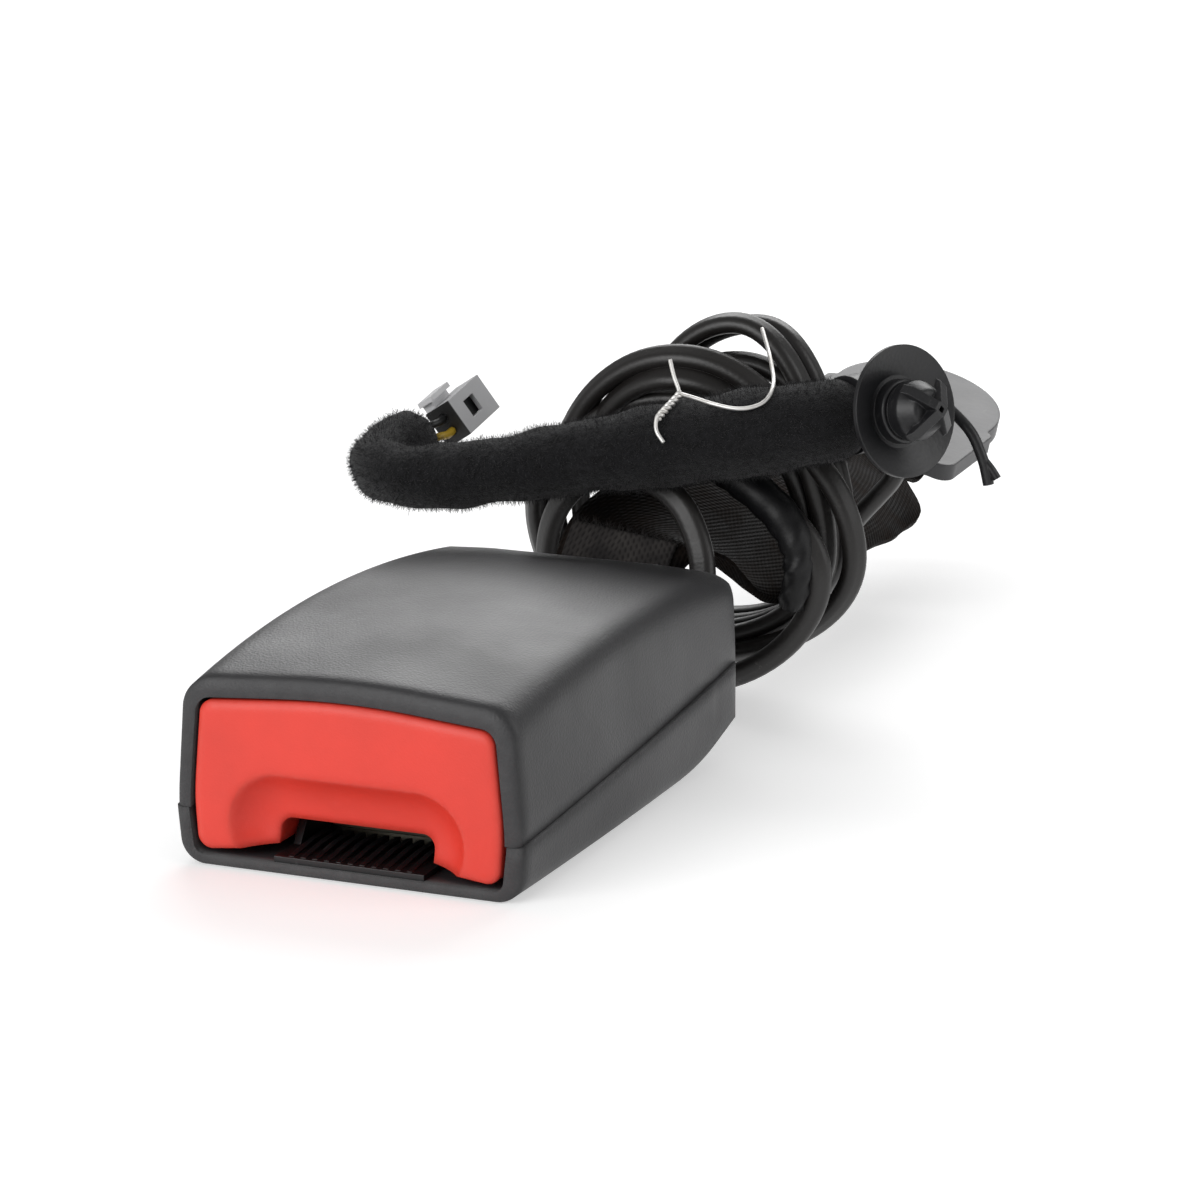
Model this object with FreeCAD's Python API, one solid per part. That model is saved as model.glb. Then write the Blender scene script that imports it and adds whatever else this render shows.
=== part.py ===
import FreeCAD, Part
import math
import os
from FreeCAD import Placement, Rotation, Vector

# A rear seat belt buckle on its webbing stalk, with the steel plate that anchors it to the car.
# Millimetres. X is right, Y runs from the button towards the anchor plate, Z is up, the floor is z = 0.
# While it is built, the buckle's front face is y = 0. At the end all moves so that the middle is y = 0.

# Housing
housing_length = 96.5
belt_half = 30.4            # half width at the widest line of the sides, at the front
side_lean = 1.5             # how far the sides lean in up to the upper edges
belt_height = 12.0
edge_height = 31.0          # upper edges, at the front
crown_across = 2.2
crown_along = 3.9           # how far the top rises from the front to the middle
side_bulge = 0.7            # how far each side bulges in plan
lower_proud = 0.35          # the lower cover stands a little proud of the upper one
bottom_inset = 0.9
top_edge_radius = 5.5
bottom_edge_radius = 4.5
rear_corner_radius = 6.0
rear_edge_radius = 7.0
front_edge_radius = 1.5
wall = 2.6
floor_wall = 2.0
seam_front = 9.6            # height of the parting line at the front
seam_rear = 16.5            # and at the rear
seam_gap = 0.15
tail_run = 30.5             # length of the bottom's rising rear part
belly_radius = 90.0
tail_rise = 7.5             # how far the bottom rises at the rear

# Button
button_gap = 0.5
button_depth = 14.0
button_travel = 6.0
button_skin = 2.2
scoop_radius = 11.0
scoop_depth = 4.5
scoop_height = 8.0
scoop_end = 1.7             # from the scoop's end spheres to the notch's sides
notch_play = 1.7            # between the webbing's edge line and the notch's sides
notch_height = 8.6
button_bottom = 2.7

# Tongue guide
guide_plate = 1.0
guide_length = 18.0
guide_play = 0.4
rib_count = 11
rib_margin = 2.8
rib_width = 0.9
guide_wall = 1.3
guide_wall_height = 7.6

# Frame
frame_start = 20.0
side_room = 12.9            # from the frame's cheeks to the widest line of the sides
frame_steel = 2.0
frame_wall_top = 22.0
frame_rear_room = 7.5       # from the frame's end to the housing's rear face
frame_flat = 54.0
running_gap = 0.3

# Latch, lock bar and ejector
pivot = Vector(0, 74, 14)
pivot_radius = 2.0
pawl_half = 5.0
pawl_lift = 8.0             # degrees from locked to raised; the pawl rests raised
nose_front = 41.0
nose_rear = 45.0
bar_radius = 2.0
bar_height = 17.0
bar_rest = 51.0
bar_travel = 6.0
ejector_front = 40.0
ejector_length = 12.0
ejector_travel = 11.0
ejector_half = 4.2
spring_stop = 71.0
pawl_spring_foot = Vector(0, 66, 18.2)

# Webbing stalk
webbing_room = 3.5          # from the webbing's edges to the frame's cheeks
ply = 1.3
webbing_bar_inset = 12.5    # from the bar's axis to the housing's rear face
webbing_bar_height = 16.5
webbing_bar_radius = 3.0
loop_play = 0.15

# Anchor plate, in its own frame: the origin is the middle of the bar that the webbing goes round
anchor_place = Placement(Vector(8.3, 224.5, 27.0), Rotation(-5, 0, 0) * Rotation(0, 15, 8))
plate_thickness = 3.5
plate_half = 19.0
plate_bar_half = 2.8
slot_play = 1.2
slot_length = 5.4
hole_radius = 6.0
hole_distance = 19.8
nose_radius = 17.5
loop_radius = 3.9

# Lead, coil, loom
lead_diameter = 4.8
coil_half_across = 31.0     # half the outer width of the bundled turns
coil_half_height = 26.0
coil_thickness = 7.5
coil_half_width = 6.0
coil_corner = 24.0
coil_centre = Vector(7.5, 129.5, 36.5)
loom_diameter = 11.0
sleeve_diameter = 6.8
wire_diameter = 1.6
tie_diameter = 0.9
hub_radius = 5.7
head_radius = 5.3
gland_drop = 11.5           # from the upper edges down to the gland's axis
gland_radius = 4.2

top_half = belt_half - side_lean
belly_length = housing_length - tail_run
frame_half = belt_half - side_room
frame_end = housing_length - frame_rear_room
webbing_half = frame_half - frame_steel - webbing_room
webbing_bar = Vector(0, housing_length - webbing_bar_inset, webbing_bar_height)
notch_half = webbing_half + notch_play
scoop_half = notch_half - scoop_end
guide_half = notch_half - guide_play
rib_pitch = 2 * (guide_half - rib_margin) / (rib_count - 1)
slot_half = webbing_half + slot_play
arm_place = frame_half + 1.8
spring_place = belt_half - 6.9
peg_place = frame_half - 7.5
gland = Vector(frame_half + 2.0, housing_length, edge_height - gland_drop)
crest = housing_length / 2
section_places = (-12.0, 16.0, crest, housing_length - 16.0, housing_length + 12.0)
lower_half = belt_half + lower_proud
seam_slope = (seam_rear - seam_front) / housing_length


def at_xy(a, b):
    return Vector(a, b, 0)


def at_xz(a, b):
    return Vector(a, 0, b)


def at_yz(a, b):
    return Vector(0, a, b)


def rounded_face(corners, place):
    """A flat face; each corner (a, b, radius) is cut by a tangent arc."""
    stations = []
    count = len(corners)
    for i, (a, b, radius) in enumerate(corners):
        here = Vector(a, b, 0)
        back = (Vector(corners[i - 1][0], corners[i - 1][1], 0) - here).normalize()
        ahead = (Vector(corners[(i + 1) % count][0], corners[(i + 1) % count][1], 0) - here).normalize()
        half = back.getAngle(ahead) / 2
        reach = radius / math.tan(half)
        depth = radius / math.sin(half) - radius
        if radius > 0:
            middle = here + (back + ahead).normalize() * depth
            stations.append((here + back * reach, middle, here + ahead * reach))
        else:
            stations.append((here, None, here))
    edges = []
    for i, (start, middle, end) in enumerate(stations):
        if middle is not None:
            arc = Part.Arc(place(start.x, start.y), place(middle.x, middle.y), place(end.x, end.y))
            edges.append(arc.toShape())
        following = stations[(i + 1) % count][0]
        if (following - end).Length > 1e-4:
            edges.append(Part.LineSegment(place(end.x, end.y), place(following.x, following.y)).toShape())
    return Part.Face(Part.Wire(edges))


def mirrored(corners):
    """The corners of a half outline with a >= 0, followed by their mirror images."""
    return corners + [(-a, b, r) for a, b, r in reversed(corners) if a > 1e-6]


def along_x(face, half):
    face.translate(Vector(-half, 0, 0))
    return face.extrude(Vector(2 * half, 0, 0))


def along_y(face, start, end):
    face.translate(Vector(0, start, 0))
    return face.extrude(Vector(0, end - start, 0))


def along_z(face, bottom, top):
    face.translate(Vector(0, 0, bottom))
    return face.extrude(Vector(0, 0, top - bottom))


def block(x0, x1, y0, y1, z0, z1):
    return Part.makeBox(x1 - x0, y1 - y0, z1 - z0, Vector(x0, y0, z0))


def pin(radius, start, end):
    return Part.makeCylinder(radius, (end - start).Length, start, end - start)


def route(points, name=""):
    """Straight runs joined by tangent arcs, each as large as its two runs allow."""
    edges = []
    last = points[0]
    radii = []
    for i in range(1, len(points) - 1):
        back = points[i - 1] - points[i]
        ahead = points[i + 1] - points[i]
        half_turn = (math.pi - back.getAngle(ahead)) / 2
        reach = 0.45 * min(back.Length, ahead.Length)
        radius = reach / math.tan(half_turn)
        radii.append(radius)
        back.normalize()
        ahead.normalize()
        start = points[i] + back * reach
        end = points[i] + ahead * reach
        depth = radius / math.cos(half_turn) - radius
        middle = points[i] + (back + ahead).normalize() * depth
        edges.append(Part.LineSegment(last, start).toShape())
        edges.append(Part.Arc(start, middle, end).toShape())
        last = end
    edges.append(Part.LineSegment(last, points[-1]).toShape())
    wire = Part.Wire(edges)
    if name:
        print(name, "length", round(wire.Length, 1), "radii", [round(r, 1) for r in radii])
    return wire


def tube(points, diameter, name=""):
    path = route(points, name)
    ring = Part.Wire(Part.makeCircle(diameter / 2, points[0], points[1] - points[0]))
    return path.makePipeShell([ring], True, False)


def coil_spring(radius, wire, pitch, start, turns, direction):
    helix = Part.makeHelix(pitch, pitch * turns, radius)
    ring = Part.Wire(Part.makeCircle(wire / 2, Vector(radius, 0, 0), Vector(0, 1, 0)))
    coil = Part.Wire(helix).makePipeShell([ring], True, True)
    coil.Placement = Placement(start, Rotation(Vector(0, 0, 1), direction))
    return coil


# The housing's form. Both covers are cut from it, and the inset form is their inside.

def swell(y):
    """1 at mid-length and 0 at the front and rear ends, along a parabola."""
    return 1 - ((y - crest) / crest) ** 2


def lofted(outline_at):
    """A smooth solid through the cross-sections that outline_at(y) gives at the stations."""
    wires = []
    for y in section_places:
        face = rounded_face(mirrored(outline_at(y)), at_xz)
        face.translate(Vector(0, y, 0))
        wires.append(face.OuterWire)
    return Part.makeLoft(wires, True, False)


def upper_form(inset):
    """The upper form, crowned across and along, with sides that bulge a little."""
    def outline_at(y):
        out = side_bulge * swell(y) - inset
        up = crown_along * swell(y) - inset
        return [
            (belt_half + out, -10.0, 0),
            (belt_half + out, belt_height, 60.0),
            (top_half + out, edge_height + up, top_edge_radius - inset),
            (0, edge_height + crown_across + up, 150.0),
        ]
    return lofted(outline_at)


def lower_form(inset):
    """The lower form, with rounded lower edges, cut by the belly of the side view."""
    def outline_at(y):
        out = side_bulge * swell(y) - inset
        return [
            (lower_half - bottom_inset + out, min(inset, floor_wall), bottom_edge_radius - inset),
            (lower_half + out, seam_front, 30.0),
            (lower_half + out, 40, 0),
        ]
    return lofted(outline_at).common(belly_form(min(inset, floor_wall)))


def plan_form(inset):
    """The plan view: rounded rear corners."""
    rear = housing_length - inset
    half = belt_half + 6
    corner = lower_half - inset + 0.1
    outline = [
        (half, -30, 0),
        (half, 40, 0),
        (corner, rear - 14, 0),
        (corner, rear, rear_corner_radius - inset),
    ]
    return along_z(rounded_face(mirrored(outline), at_xy), -10, 60)


def rear_form(inset):
    """Rounds the upper rear edge in the side view."""
    rear = housing_length - inset
    top = edge_height + crown_across - inset
    outline = [
        (-30, -10, 0),
        (rear, -10, 0),
        (rear, top - 1.2, rear_edge_radius - inset),
        (rear - 22, top + 2.6, 0),
        (crest, 60, 0),
        (-30, 60, 0),
    ]
    return along_x(rounded_face(outline, at_yz), 50)


def belly_form(inset):
    """The flat belly and the rising tail in the side view."""
    rear = housing_length - inset
    outline = [
        (-30, inset, 0),
        (belly_length, inset, belly_radius),
        (rear, tail_rise + inset, 5.0 - inset),
        (rear, 50, 0),
        (-30, 50, 0),
    ]
    return along_x(rounded_face(outline, at_yz), 50)


def seam_side(offset, above):
    """All that lies above (or below) the sloping parting line."""
    reach = 60
    low = seam_front - reach * seam_slope + offset
    high = seam_front + (housing_length + reach) * seam_slope + offset
    far = 90 if above else -90
    corners = [
        Vector(0, -reach, low),
        Vector(0, housing_length + reach, high),
        Vector(0, housing_length + reach, far),
        Vector(0, -reach, far),
    ]
    face = Part.Face(Part.makePolygon(corners + [corners[0]]))
    return along_x(face, 50)


def front_cut():
    return block(-50, 50, -60, 0, -20, 80)


def rounded_front(solid):
    """Softens the outer edges of the front face."""
    edges = [e for e in solid.Edges if e.BoundBox.YMax < 0.01]
    return solid.makeFillet(front_edge_radius, edges)


def stalk_opening():
    return block(-webbing_half - 1.2, webbing_half + 1.2, housing_length - 12, housing_length + 5,
                 webbing_bar.z - 3.2, webbing_bar.z + 3.6)


def gland_hole(radius):
    return pin(radius, Vector(gland.x, gland.y - 12, gland.z), Vector(gland.x, gland.y + 6, gland.z))


def make_upper_cover():
    outer = rounded_front(upper_form(0).common(plan_form(0)).common(rear_form(0)).cut(front_cut()))
    inner = upper_form(wall).common(plan_form(wall)).common(rear_form(wall))
    cover = outer.cut(inner).common(seam_side(seam_gap, True))
    for side in (-1, 1):
        middle = side * (frame_half - 1.0)
        rib = block(middle - 0.8, middle + 0.8, 60, frame_end - 3.0, frame_wall_top + 0.1, 40).common(inner)
        middle = side * (spring_place + 1.0)
        tab = block(middle - 3.2, middle + 3.2, 40, 46, frame_wall_top, 40).common(inner)
        cover = cover.fuse([rib, tab])
    seat = pawl_spring_foot + Vector(0, 0, 6.0)
    spring_seat = block(-4, 4, seat.y - 4, seat.y + 4, seat.z, 40).common(inner)
    cover = cover.fuse(spring_seat)
    return cover.cut(stalk_opening()).cut(gland_hole(gland_radius - 1.2)).removeSplitter()


def make_lower_cover():
    outer = rounded_front(lower_form(0).common(plan_form(0)).cut(front_cut()))
    inner = lower_form(wall).common(plan_form(wall))
    cover = outer.cut(inner).common(seam_side(0, False))
    for x in (-peg_place, peg_place):
        foot = Vector(x, 30, floor_wall - 0.5)
        cover = cover.fuse(pin(1.8, foot, Vector(x, 30, floor_wall + frame_steel - 0.1)))
    for side in (-1, 1):
        middle = side * (spring_place - 1.0)
        stop = block(middle - 3.5, middle + 3.5, 34, 36, floor_wall - 0.5, 12.4)
        gusset = block(middle - 0.7, middle + 0.7, 36, 39.4, floor_wall - 0.5, 9.0)
        cover = cover.fuse([stop, gusset])
    return cover.cut(stalk_opening()).cut(gland_hole(gland_radius - 1.2)).removeSplitter()


def button_outline(inset):
    top = edge_height - wall - button_gap
    middle = top + crown_across
    side = belt_half - wall - button_gap
    return mirrored([
        (notch_half - 2, button_bottom + 1.8 + inset, 0),
        (side - 0.6 - inset, button_bottom + inset, 2.5),
        (side - inset, belt_height, 40.0),
        (top_half - wall - button_gap - inset, top - inset, 2.5),
        (0, middle - inset, 120.0),
    ])


def scoop(extra):
    radius = scoop_radius + extra
    centre_y = scoop_depth - scoop_radius
    left = Vector(-scoop_half, centre_y, scoop_height)
    right = Vector(scoop_half, centre_y, scoop_height)
    return pin(radius, left, right).fuse([Part.makeSphere(radius, left), Part.makeSphere(radius, right)])


def make_button():
    body = along_y(rounded_face(button_outline(0), at_xz), 0, button_depth)
    front_edges = [e for e in body.Edges if e.BoundBox.YMax < 0.01]
    body = body.makeFillet(0.8, front_edges)
    cavity = along_y(rounded_face(button_outline(button_skin), at_xz), button_skin, button_depth + 1)
    cavity = cavity.cut(scoop(button_skin))
    lintel = 1.8
    surround = notch_half + lintel
    cavity = cavity.cut(block(-surround, surround, -1, button_depth + 2, 0, notch_height + lintel))
    body = body.cut(cavity).cut(scoop(0))
    notch_outline = [
        (notch_half, -2, 0),
        (notch_half, notch_height, 2.2),
        (-notch_half, notch_height, 2.2),
        (-notch_half, -2, 0),
    ]
    notch = along_y(rounded_face(notch_outline, at_xz), -1, button_depth + 1)
    body = body.cut(notch)
    for side in (-1, 1):
        arm_low = bar_height - 4.5
        arm_high = bar_height + 4.5
        arm_start = side * arm_place - 1.1
        web = block(arm_start, arm_start + 2.2, button_skin - 0.5, 24, arm_low, arm_high)
        arm_outline = [
            (20, arm_low, 0),
            (20, arm_high, 0),
            (60, arm_high - 0.9, 2.0),
            (60, arm_low + 0.9, 2.0),
        ]
        arm = rounded_face(arm_outline, at_yz)
        arm.translate(Vector(arm_start, 0, 0))
        arm = arm.extrude(Vector(2.2, 0, 0))
        slot_start = bar_rest - bar_travel - button_travel - running_gap
        slot_outline = [
            (slot_start - bar_radius, bar_height - bar_radius - running_gap, 2.0),
            (bar_rest + bar_radius + 1.0, bar_height - bar_radius - running_gap, 2.0),
            (bar_rest + bar_radius + 1.0, bar_height + bar_radius + running_gap, 2.0),
            (slot_start - bar_radius, bar_height + bar_radius + running_gap, 2.0),
        ]
        slot = rounded_face(slot_outline, at_yz)
        slot.translate(Vector(side * arm_place - 3, 0, 0))
        post_place = side * spring_place
        post_foot = Vector(post_place, button_skin, 9.0)
        spring_post = pin(1.2, post_foot, Vector(post_place, button_depth + 4, 9.0))
        within = along_y(rounded_face(button_outline(0.5), at_xz), 0, button_depth)
        spring_web = block(post_place - 3.2, post_place + 3.2, button_skin - 0.5, button_depth, 5.6, 12.4)
        spring_web = spring_web.common(within)
        body = body.fuse([web.fuse(arm).cut(slot.extrude(Vector(6, 0, 0))), spring_web, spring_post])
    return body.removeSplitter()


def make_button_springs():
    springs = []
    for side in (-1, 1):
        start = Vector(side * spring_place, button_depth + 0.4, 9.0)
        springs.append(coil_spring(2.3, 0.6, 3.15, start, 6, Vector(0, 1, 0)))
    return Part.makeCompound(springs)


def make_guide():
    z0 = floor_wall
    guide = block(-guide_half, guide_half, 0.8, 0.8 + guide_length, z0, z0 + guide_plate)
    rib_foot = z0 + guide_plate - 0.2
    rib_top = z0 + guide_plate + 0.9
    rib_outline = [
        (1.4, rib_foot, 0),
        (1.4, z0 + guide_plate + 0.1, 0),
        (9.0, rib_top, 0),
        (15.0, rib_top, 0),
        (15.0, rib_foot, 0),
    ]
    for i in range(rib_count):
        x = (i - (rib_count - 1) / 2) * rib_pitch
        rib = rounded_face(rib_outline, at_yz)
        rib.translate(Vector(x - rib_width / 2, 0, 0))
        guide = guide.fuse(rib.extrude(Vector(rib_width, 0, 0)))
    for side in (-1, 1):
        outline = [(7.0, z0, 0), (11.0, guide_wall_height, 1.5), (18.8, guide_wall_height, 0), (18.8, z0, 0)]
        cheek = rounded_face(outline, at_yz)
        start = side * (guide_half - guide_wall / 2) - guide_wall / 2
        cheek.translate(Vector(start, 0, 0))
        guide = guide.fuse(cheek.extrude(Vector(guide_wall, 0, 0)))
    return guide.removeSplitter()


def make_frame():
    base_bottom = floor_wall + 0.05
    base_top = base_bottom + frame_steel
    base = block(-frame_half, frame_half, frame_start, frame_flat, base_bottom, base_top)
    for x in (-peg_place, peg_place):
        base = base.cut(pin(1.9, Vector(x, 30, 0), Vector(x, 30, 10)))
    base = base.cut(block(-pawl_half - 0.6, pawl_half + 0.6, nose_front - 2.5, nose_rear + 2.0, 0, 10))
    wall_outline = [
        (frame_start + 4, base_bottom, 0),
        (frame_flat, base_bottom, 0),
        (frame_end, tail_rise + 3.2, 2.0),
        (frame_end, 19.0, 3.0),
        (frame_end - 8, frame_wall_top, 3.0),
        (frame_start + 9, frame_wall_top, 5.0),
        (frame_start + 4, 10.0, 3.0),
    ]
    frame = base
    for side in (-1, 1):
        cheek = rounded_face(wall_outline, at_yz)
        start = frame_half - frame_steel if side > 0 else -frame_half
        cheek.translate(Vector(start, 0, 0))
        frame = frame.fuse(cheek.extrude(Vector(frame_steel, 0, 0)))
    slot_low = bar_height - bar_radius - running_gap
    slot_high = bar_height + bar_radius + running_gap
    slot_outline = [
        (bar_rest - bar_travel - bar_radius - running_gap, slot_low, 2.0),
        (bar_rest + bar_radius + running_gap, slot_low, 2.0),
        (bar_rest + bar_radius + running_gap, slot_high, 2.0),
        (bar_rest - bar_travel - bar_radius - running_gap, slot_high, 2.0),
    ]
    frame = frame.cut(along_x(rounded_face(slot_outline, at_yz), frame_half + 2))
    reach = Vector(frame_half + 2, 0, 0)
    frame = frame.cut(pin(pivot_radius, pivot - reach, pivot + reach))
    frame = frame.cut(pin(webbing_bar_radius, webbing_bar - reach, webbing_bar + reach))
    slot_left = frame_half - frame_steel - 1
    frame = frame.cut(block(slot_left, frame_half + 1, 43.0, 62.0, base_top + 0.6, base_top + 3.6))
    bridge = frame_half - frame_steel / 2
    stop = block(-bridge, bridge, spring_stop, spring_stop + 1.5, base_top + 0.6, base_top + 5.0)
    return frame.fuse(stop).removeSplitter()


def make_pivot_pin():
    end = frame_half + 0.8
    shaft = pin(pivot_radius, pivot - Vector(end, 0, 0), pivot + Vector(end, 0, 0))
    head = pin(pivot_radius + 1.0, pivot - Vector(frame_half + 1.2, 0, 0), pivot - Vector(frame_half, 0, 0))
    return shaft.fuse(head).removeSplitter()


def make_webbing_bar():
    end = frame_half
    shaft = pin(webbing_bar_radius, webbing_bar - Vector(end, 0, 0), webbing_bar + Vector(end, 0, 0))
    for side in (-1, 1):
        inner = webbing_bar + Vector(side * end, 0, 0)
        shaft = shaft.fuse(pin(webbing_bar_radius + 1.2, inner, inner + Vector(side * 1.2, 0, 0)))
    return shaft.removeSplitter()


def make_pawl():
    """The latch pawl in its locked position, turned up to where it rests without a tongue."""
    nose_top = bar_height - bar_radius - running_gap
    outline = [
        (nose_front, 3.0, 0.6),
        (nose_front, nose_top, 1.0),
        (nose_rear - 0.4, nose_top, 0.6),
        (nose_rear + 2.5, 10.9, 1.0),
        (56.0, 10.9, 2.0),
        (64.0, 16.5, 3.0),
        (77.5, 17.5, 3.2),
        (77.5, 10.5, 3.2),
        (68.0, 9.0, 2.0),
        (50.0, 8.0, 1.0),
        (nose_rear, 7.2, 0.8),
        (nose_rear, 3.0, 0.6),
    ]
    pawl = along_x(rounded_face(outline, at_yz), pawl_half)
    pawl = pawl.cut(pin(pivot_radius + 0.05, pivot - Vector(20, 0, 0), pivot + Vector(20, 0, 0)))
    pawl.rotate(pivot, Vector(1, 0, 0), -pawl_lift)
    return pawl


def make_lock_bar():
    end = Vector(arm_place + 1.9, 0, 0)
    centre = Vector(0, bar_rest, bar_height)
    return pin(bar_radius, centre - end, centre + end)


def make_ejector():
    base_top = floor_wall + 0.05 + frame_steel
    low = base_top + 0.15
    outline = [
        (ejector_front, low, 0),
        (ejector_front, low + 1.0, 0),
        (ejector_front + 5.5, low + 2.5, 0),
        (ejector_front + ejector_length, low + 2.5, 0),
        (ejector_front + ejector_length, low, 0),
    ]
    slider = along_x(rounded_face(outline, at_yz), ejector_half)
    rear = ejector_front + ejector_length
    mast = pin(0.9, Vector(0, rear - 1, low + 1.6), Vector(0, rear + 2.5, low + 1.6))
    arm = block(0, frame_half + 4.2, rear - 5.0, rear - 2.0, low + 0.65, low + 2.4)
    carrier = block(frame_half + 2.0, frame_half + 6.0, rear - 6.0, rear - 1.0, low + 0.65, low + 6.0)
    return slider.fuse([mast, arm, carrier]).removeSplitter()


def make_ejector_spring():
    base_top = floor_wall + 0.05 + frame_steel
    start = Vector(0, ejector_front + ejector_length + 0.35, base_top + 1.75 + 0.15)
    return coil_spring(1.45, 0.5, 2.6, start, 7, Vector(0, 1, 0))


def make_pawl_spring():
    return coil_spring(1.8, 0.5, 1.3, pawl_spring_foot, 4, Vector(0, 0, 1))


def make_switch_housing():
    x0 = frame_half + 1.2
    shell = block(x0, x0 + 7.0, 40.0, 66.5, 3.6, 12.0)
    way = block(x0 - 1, x0 + 6.1, 42.5, 64.0, 4.4, 11.1)
    shell = shell.cut(way)
    foot = block(x0 + 1, x0 + 5.0, 46.0, 54.0, floor_wall, 3.9)
    return shell.fuse(foot).removeSplitter()


def make_grommet():
    collar_out = pin(gland_radius, gland, gland + Vector(0, 1.4, 0))
    collar_in = pin(gland_radius - 0.4, gland - Vector(0, wall + 1.2, 0), gland - Vector(0, wall, 0))
    neck = pin(gland_radius - 1.2, gland - Vector(0, wall + 1.2, 0), gland + Vector(0, 2.4, 0))
    bore = pin(lead_diameter / 2, gland - Vector(0, 8, 0), gland + Vector(0, 8, 0))
    return collar_out.fuse([collar_in, neck]).cut(bore).removeSplitter()


def make_pigtail():
    x0 = frame_half + 1.2
    points = [Vector(x0 + 4.0, 66.5, 8.0), Vector(x0 + 4.0, 74.0, 8.0), Vector(x0 + 4.2, 84.0, 15.0),
              Vector(gland.x, 91.0, gland.z), Vector(gland.x, gland.y + 2.4, gland.z)]
    return tube(points, 3.2)


def make_webbing():
    """Doubled belt webbing: round the bar in the buckle, along, with a twist, and round the plate's bar."""
    inner = webbing_bar_radius + loop_play
    outer = inner + ply
    left_end = webbing_bar - Vector(webbing_half, 0, 0)
    loop = Part.makeCylinder(outer, 2 * webbing_half, left_end, Vector(1, 0, 0))
    tongue = along_x(rounded_face([
        (webbing_bar.y, webbing_bar.z - outer, 0),
        (webbing_bar.y + 1.0, webbing_bar.z - outer, 2.0),
        (webbing_bar.y + 8.0, webbing_bar.z - ply, 4.0),
        (housing_length + 2.0, webbing_bar.z - ply, 0),
        (housing_length + 2.0, webbing_bar.z + ply, 0),
        (webbing_bar.y + 8.0, webbing_bar.z + ply, 4.0),
        (webbing_bar.y + 1.0, webbing_bar.z + outer, 2.0),
        (webbing_bar.y, webbing_bar.z + outer, 0),
    ], at_yz), webbing_half)
    start = loop.fuse(tongue)
    start = start.cut(pin(inner, webbing_bar - Vector(20, 0, 0), webbing_bar + Vector(20, 0, 0)))

    anchor_outer = loop_radius + ply
    end_loop = Part.makeCylinder(anchor_outer, 2 * webbing_half, Vector(-webbing_half, 0, 0), Vector(1, 0, 0))
    end_run = along_x(rounded_face([
        (0, -anchor_outer, 0),
        (-1.0, -anchor_outer, 2.0),
        (-9.0, -ply, 4.0),
        (-11.0, -ply, 0),
        (-11.0, ply, 0),
        (-9.0, ply, 4.0),
        (-1.0, anchor_outer, 2.0),
        (0, anchor_outer, 0),
    ], at_yz), webbing_half)
    end = end_loop.fuse(end_run).cut(pin(loop_radius, Vector(-20, 0, 0), Vector(20, 0, 0)))
    end.Placement = anchor_place

    places = [
        Placement(Vector(0, housing_length + 1.7, webbing_bar.z), Rotation()),
        Placement(webbing_bar + Vector(0.8, 19, 3.5), Rotation(-2, 0, 0) * Rotation(0, 0, 50)),
        Placement(webbing_bar + Vector(1.8, 23, 10.5), Rotation(-3, 0, 0) * Rotation(0, 2, 62)),
        Placement(webbing_bar + Vector(3.6, 27, 16.5), Rotation(-4, 0, 0) * Rotation(0, 8, 48)),
        Placement(webbing_bar + Vector(7.0, 34, 18.5), Rotation(-6, 0, 0) * Rotation(0, 25, 14)),
        Placement(webbing_bar + Vector(11.0, 48, 17.0), Rotation(-8, 0, 0) * Rotation(0, 39, -3)),
        Placement(webbing_bar + Vector(15.0, 70, 13.0), Rotation(-6, 0, 0) * Rotation(0, 44, -5)),
        Placement(anchor_place.Base + Vector(7.5, -47, 1.0), Rotation(-2, 0, 0) * Rotation(0, 44, -4)),
        Placement(anchor_place.Base + Vector(4.5, -30, -0.3), Rotation(-3, 0, 0) * Rotation(0, 36, 0)),
        Placement(anchor_place.Base + Vector(1.2, -18, -1.4), Rotation(-4, 0, 0) * Rotation(0, 22, 5)),
        anchor_place.multiply(Placement(Vector(0, -10.6, 0), Rotation())),
    ]
    sections = []
    for place in places:
        corners = [
            Vector(-webbing_half, 0, -ply),
            Vector(webbing_half, 0, -ply),
            Vector(webbing_half, 0, ply),
            Vector(-webbing_half, 0, ply),
        ]
        placed = [place.multVec(c) for c in corners]
        sections.append(Part.makePolygon(placed + [placed[0]]))
    middle = Part.makeLoft(sections, True, False)
    return start.fuse([middle, end]).removeSplitter()


def make_anchor_plate():
    straight = hole_distance - 3.0
    low = plate_thickness / 2
    plate = along_z(rounded_face(mirrored([
        (plate_half, -plate_bar_half, 3.0),
        (plate_half, straight, 1.2),
        (nose_radius, straight + 1.2, 0.8),
        (nose_radius, hole_distance, 0),
    ]), at_xy), -low, low)
    nose = Part.makeCylinder(nose_radius, plate_thickness, Vector(0, hole_distance, -low))
    plate = plate.fuse(nose)
    slot = along_z(rounded_face([
        (-slot_half, plate_bar_half, 1.5),
        (slot_half, plate_bar_half, 1.5),
        (slot_half, plate_bar_half + slot_length, 2.2),
        (-slot_half, plate_bar_half + slot_length, 2.2),
    ], at_xy), -low - 1, low + 1)
    hole = Part.makeCylinder(hole_radius, plate_thickness + 2, Vector(0, hole_distance, -low - 1))
    plate = plate.cut(slot).cut(hole).removeSplitter()
    plate.Placement = anchor_place
    return plate


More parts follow.
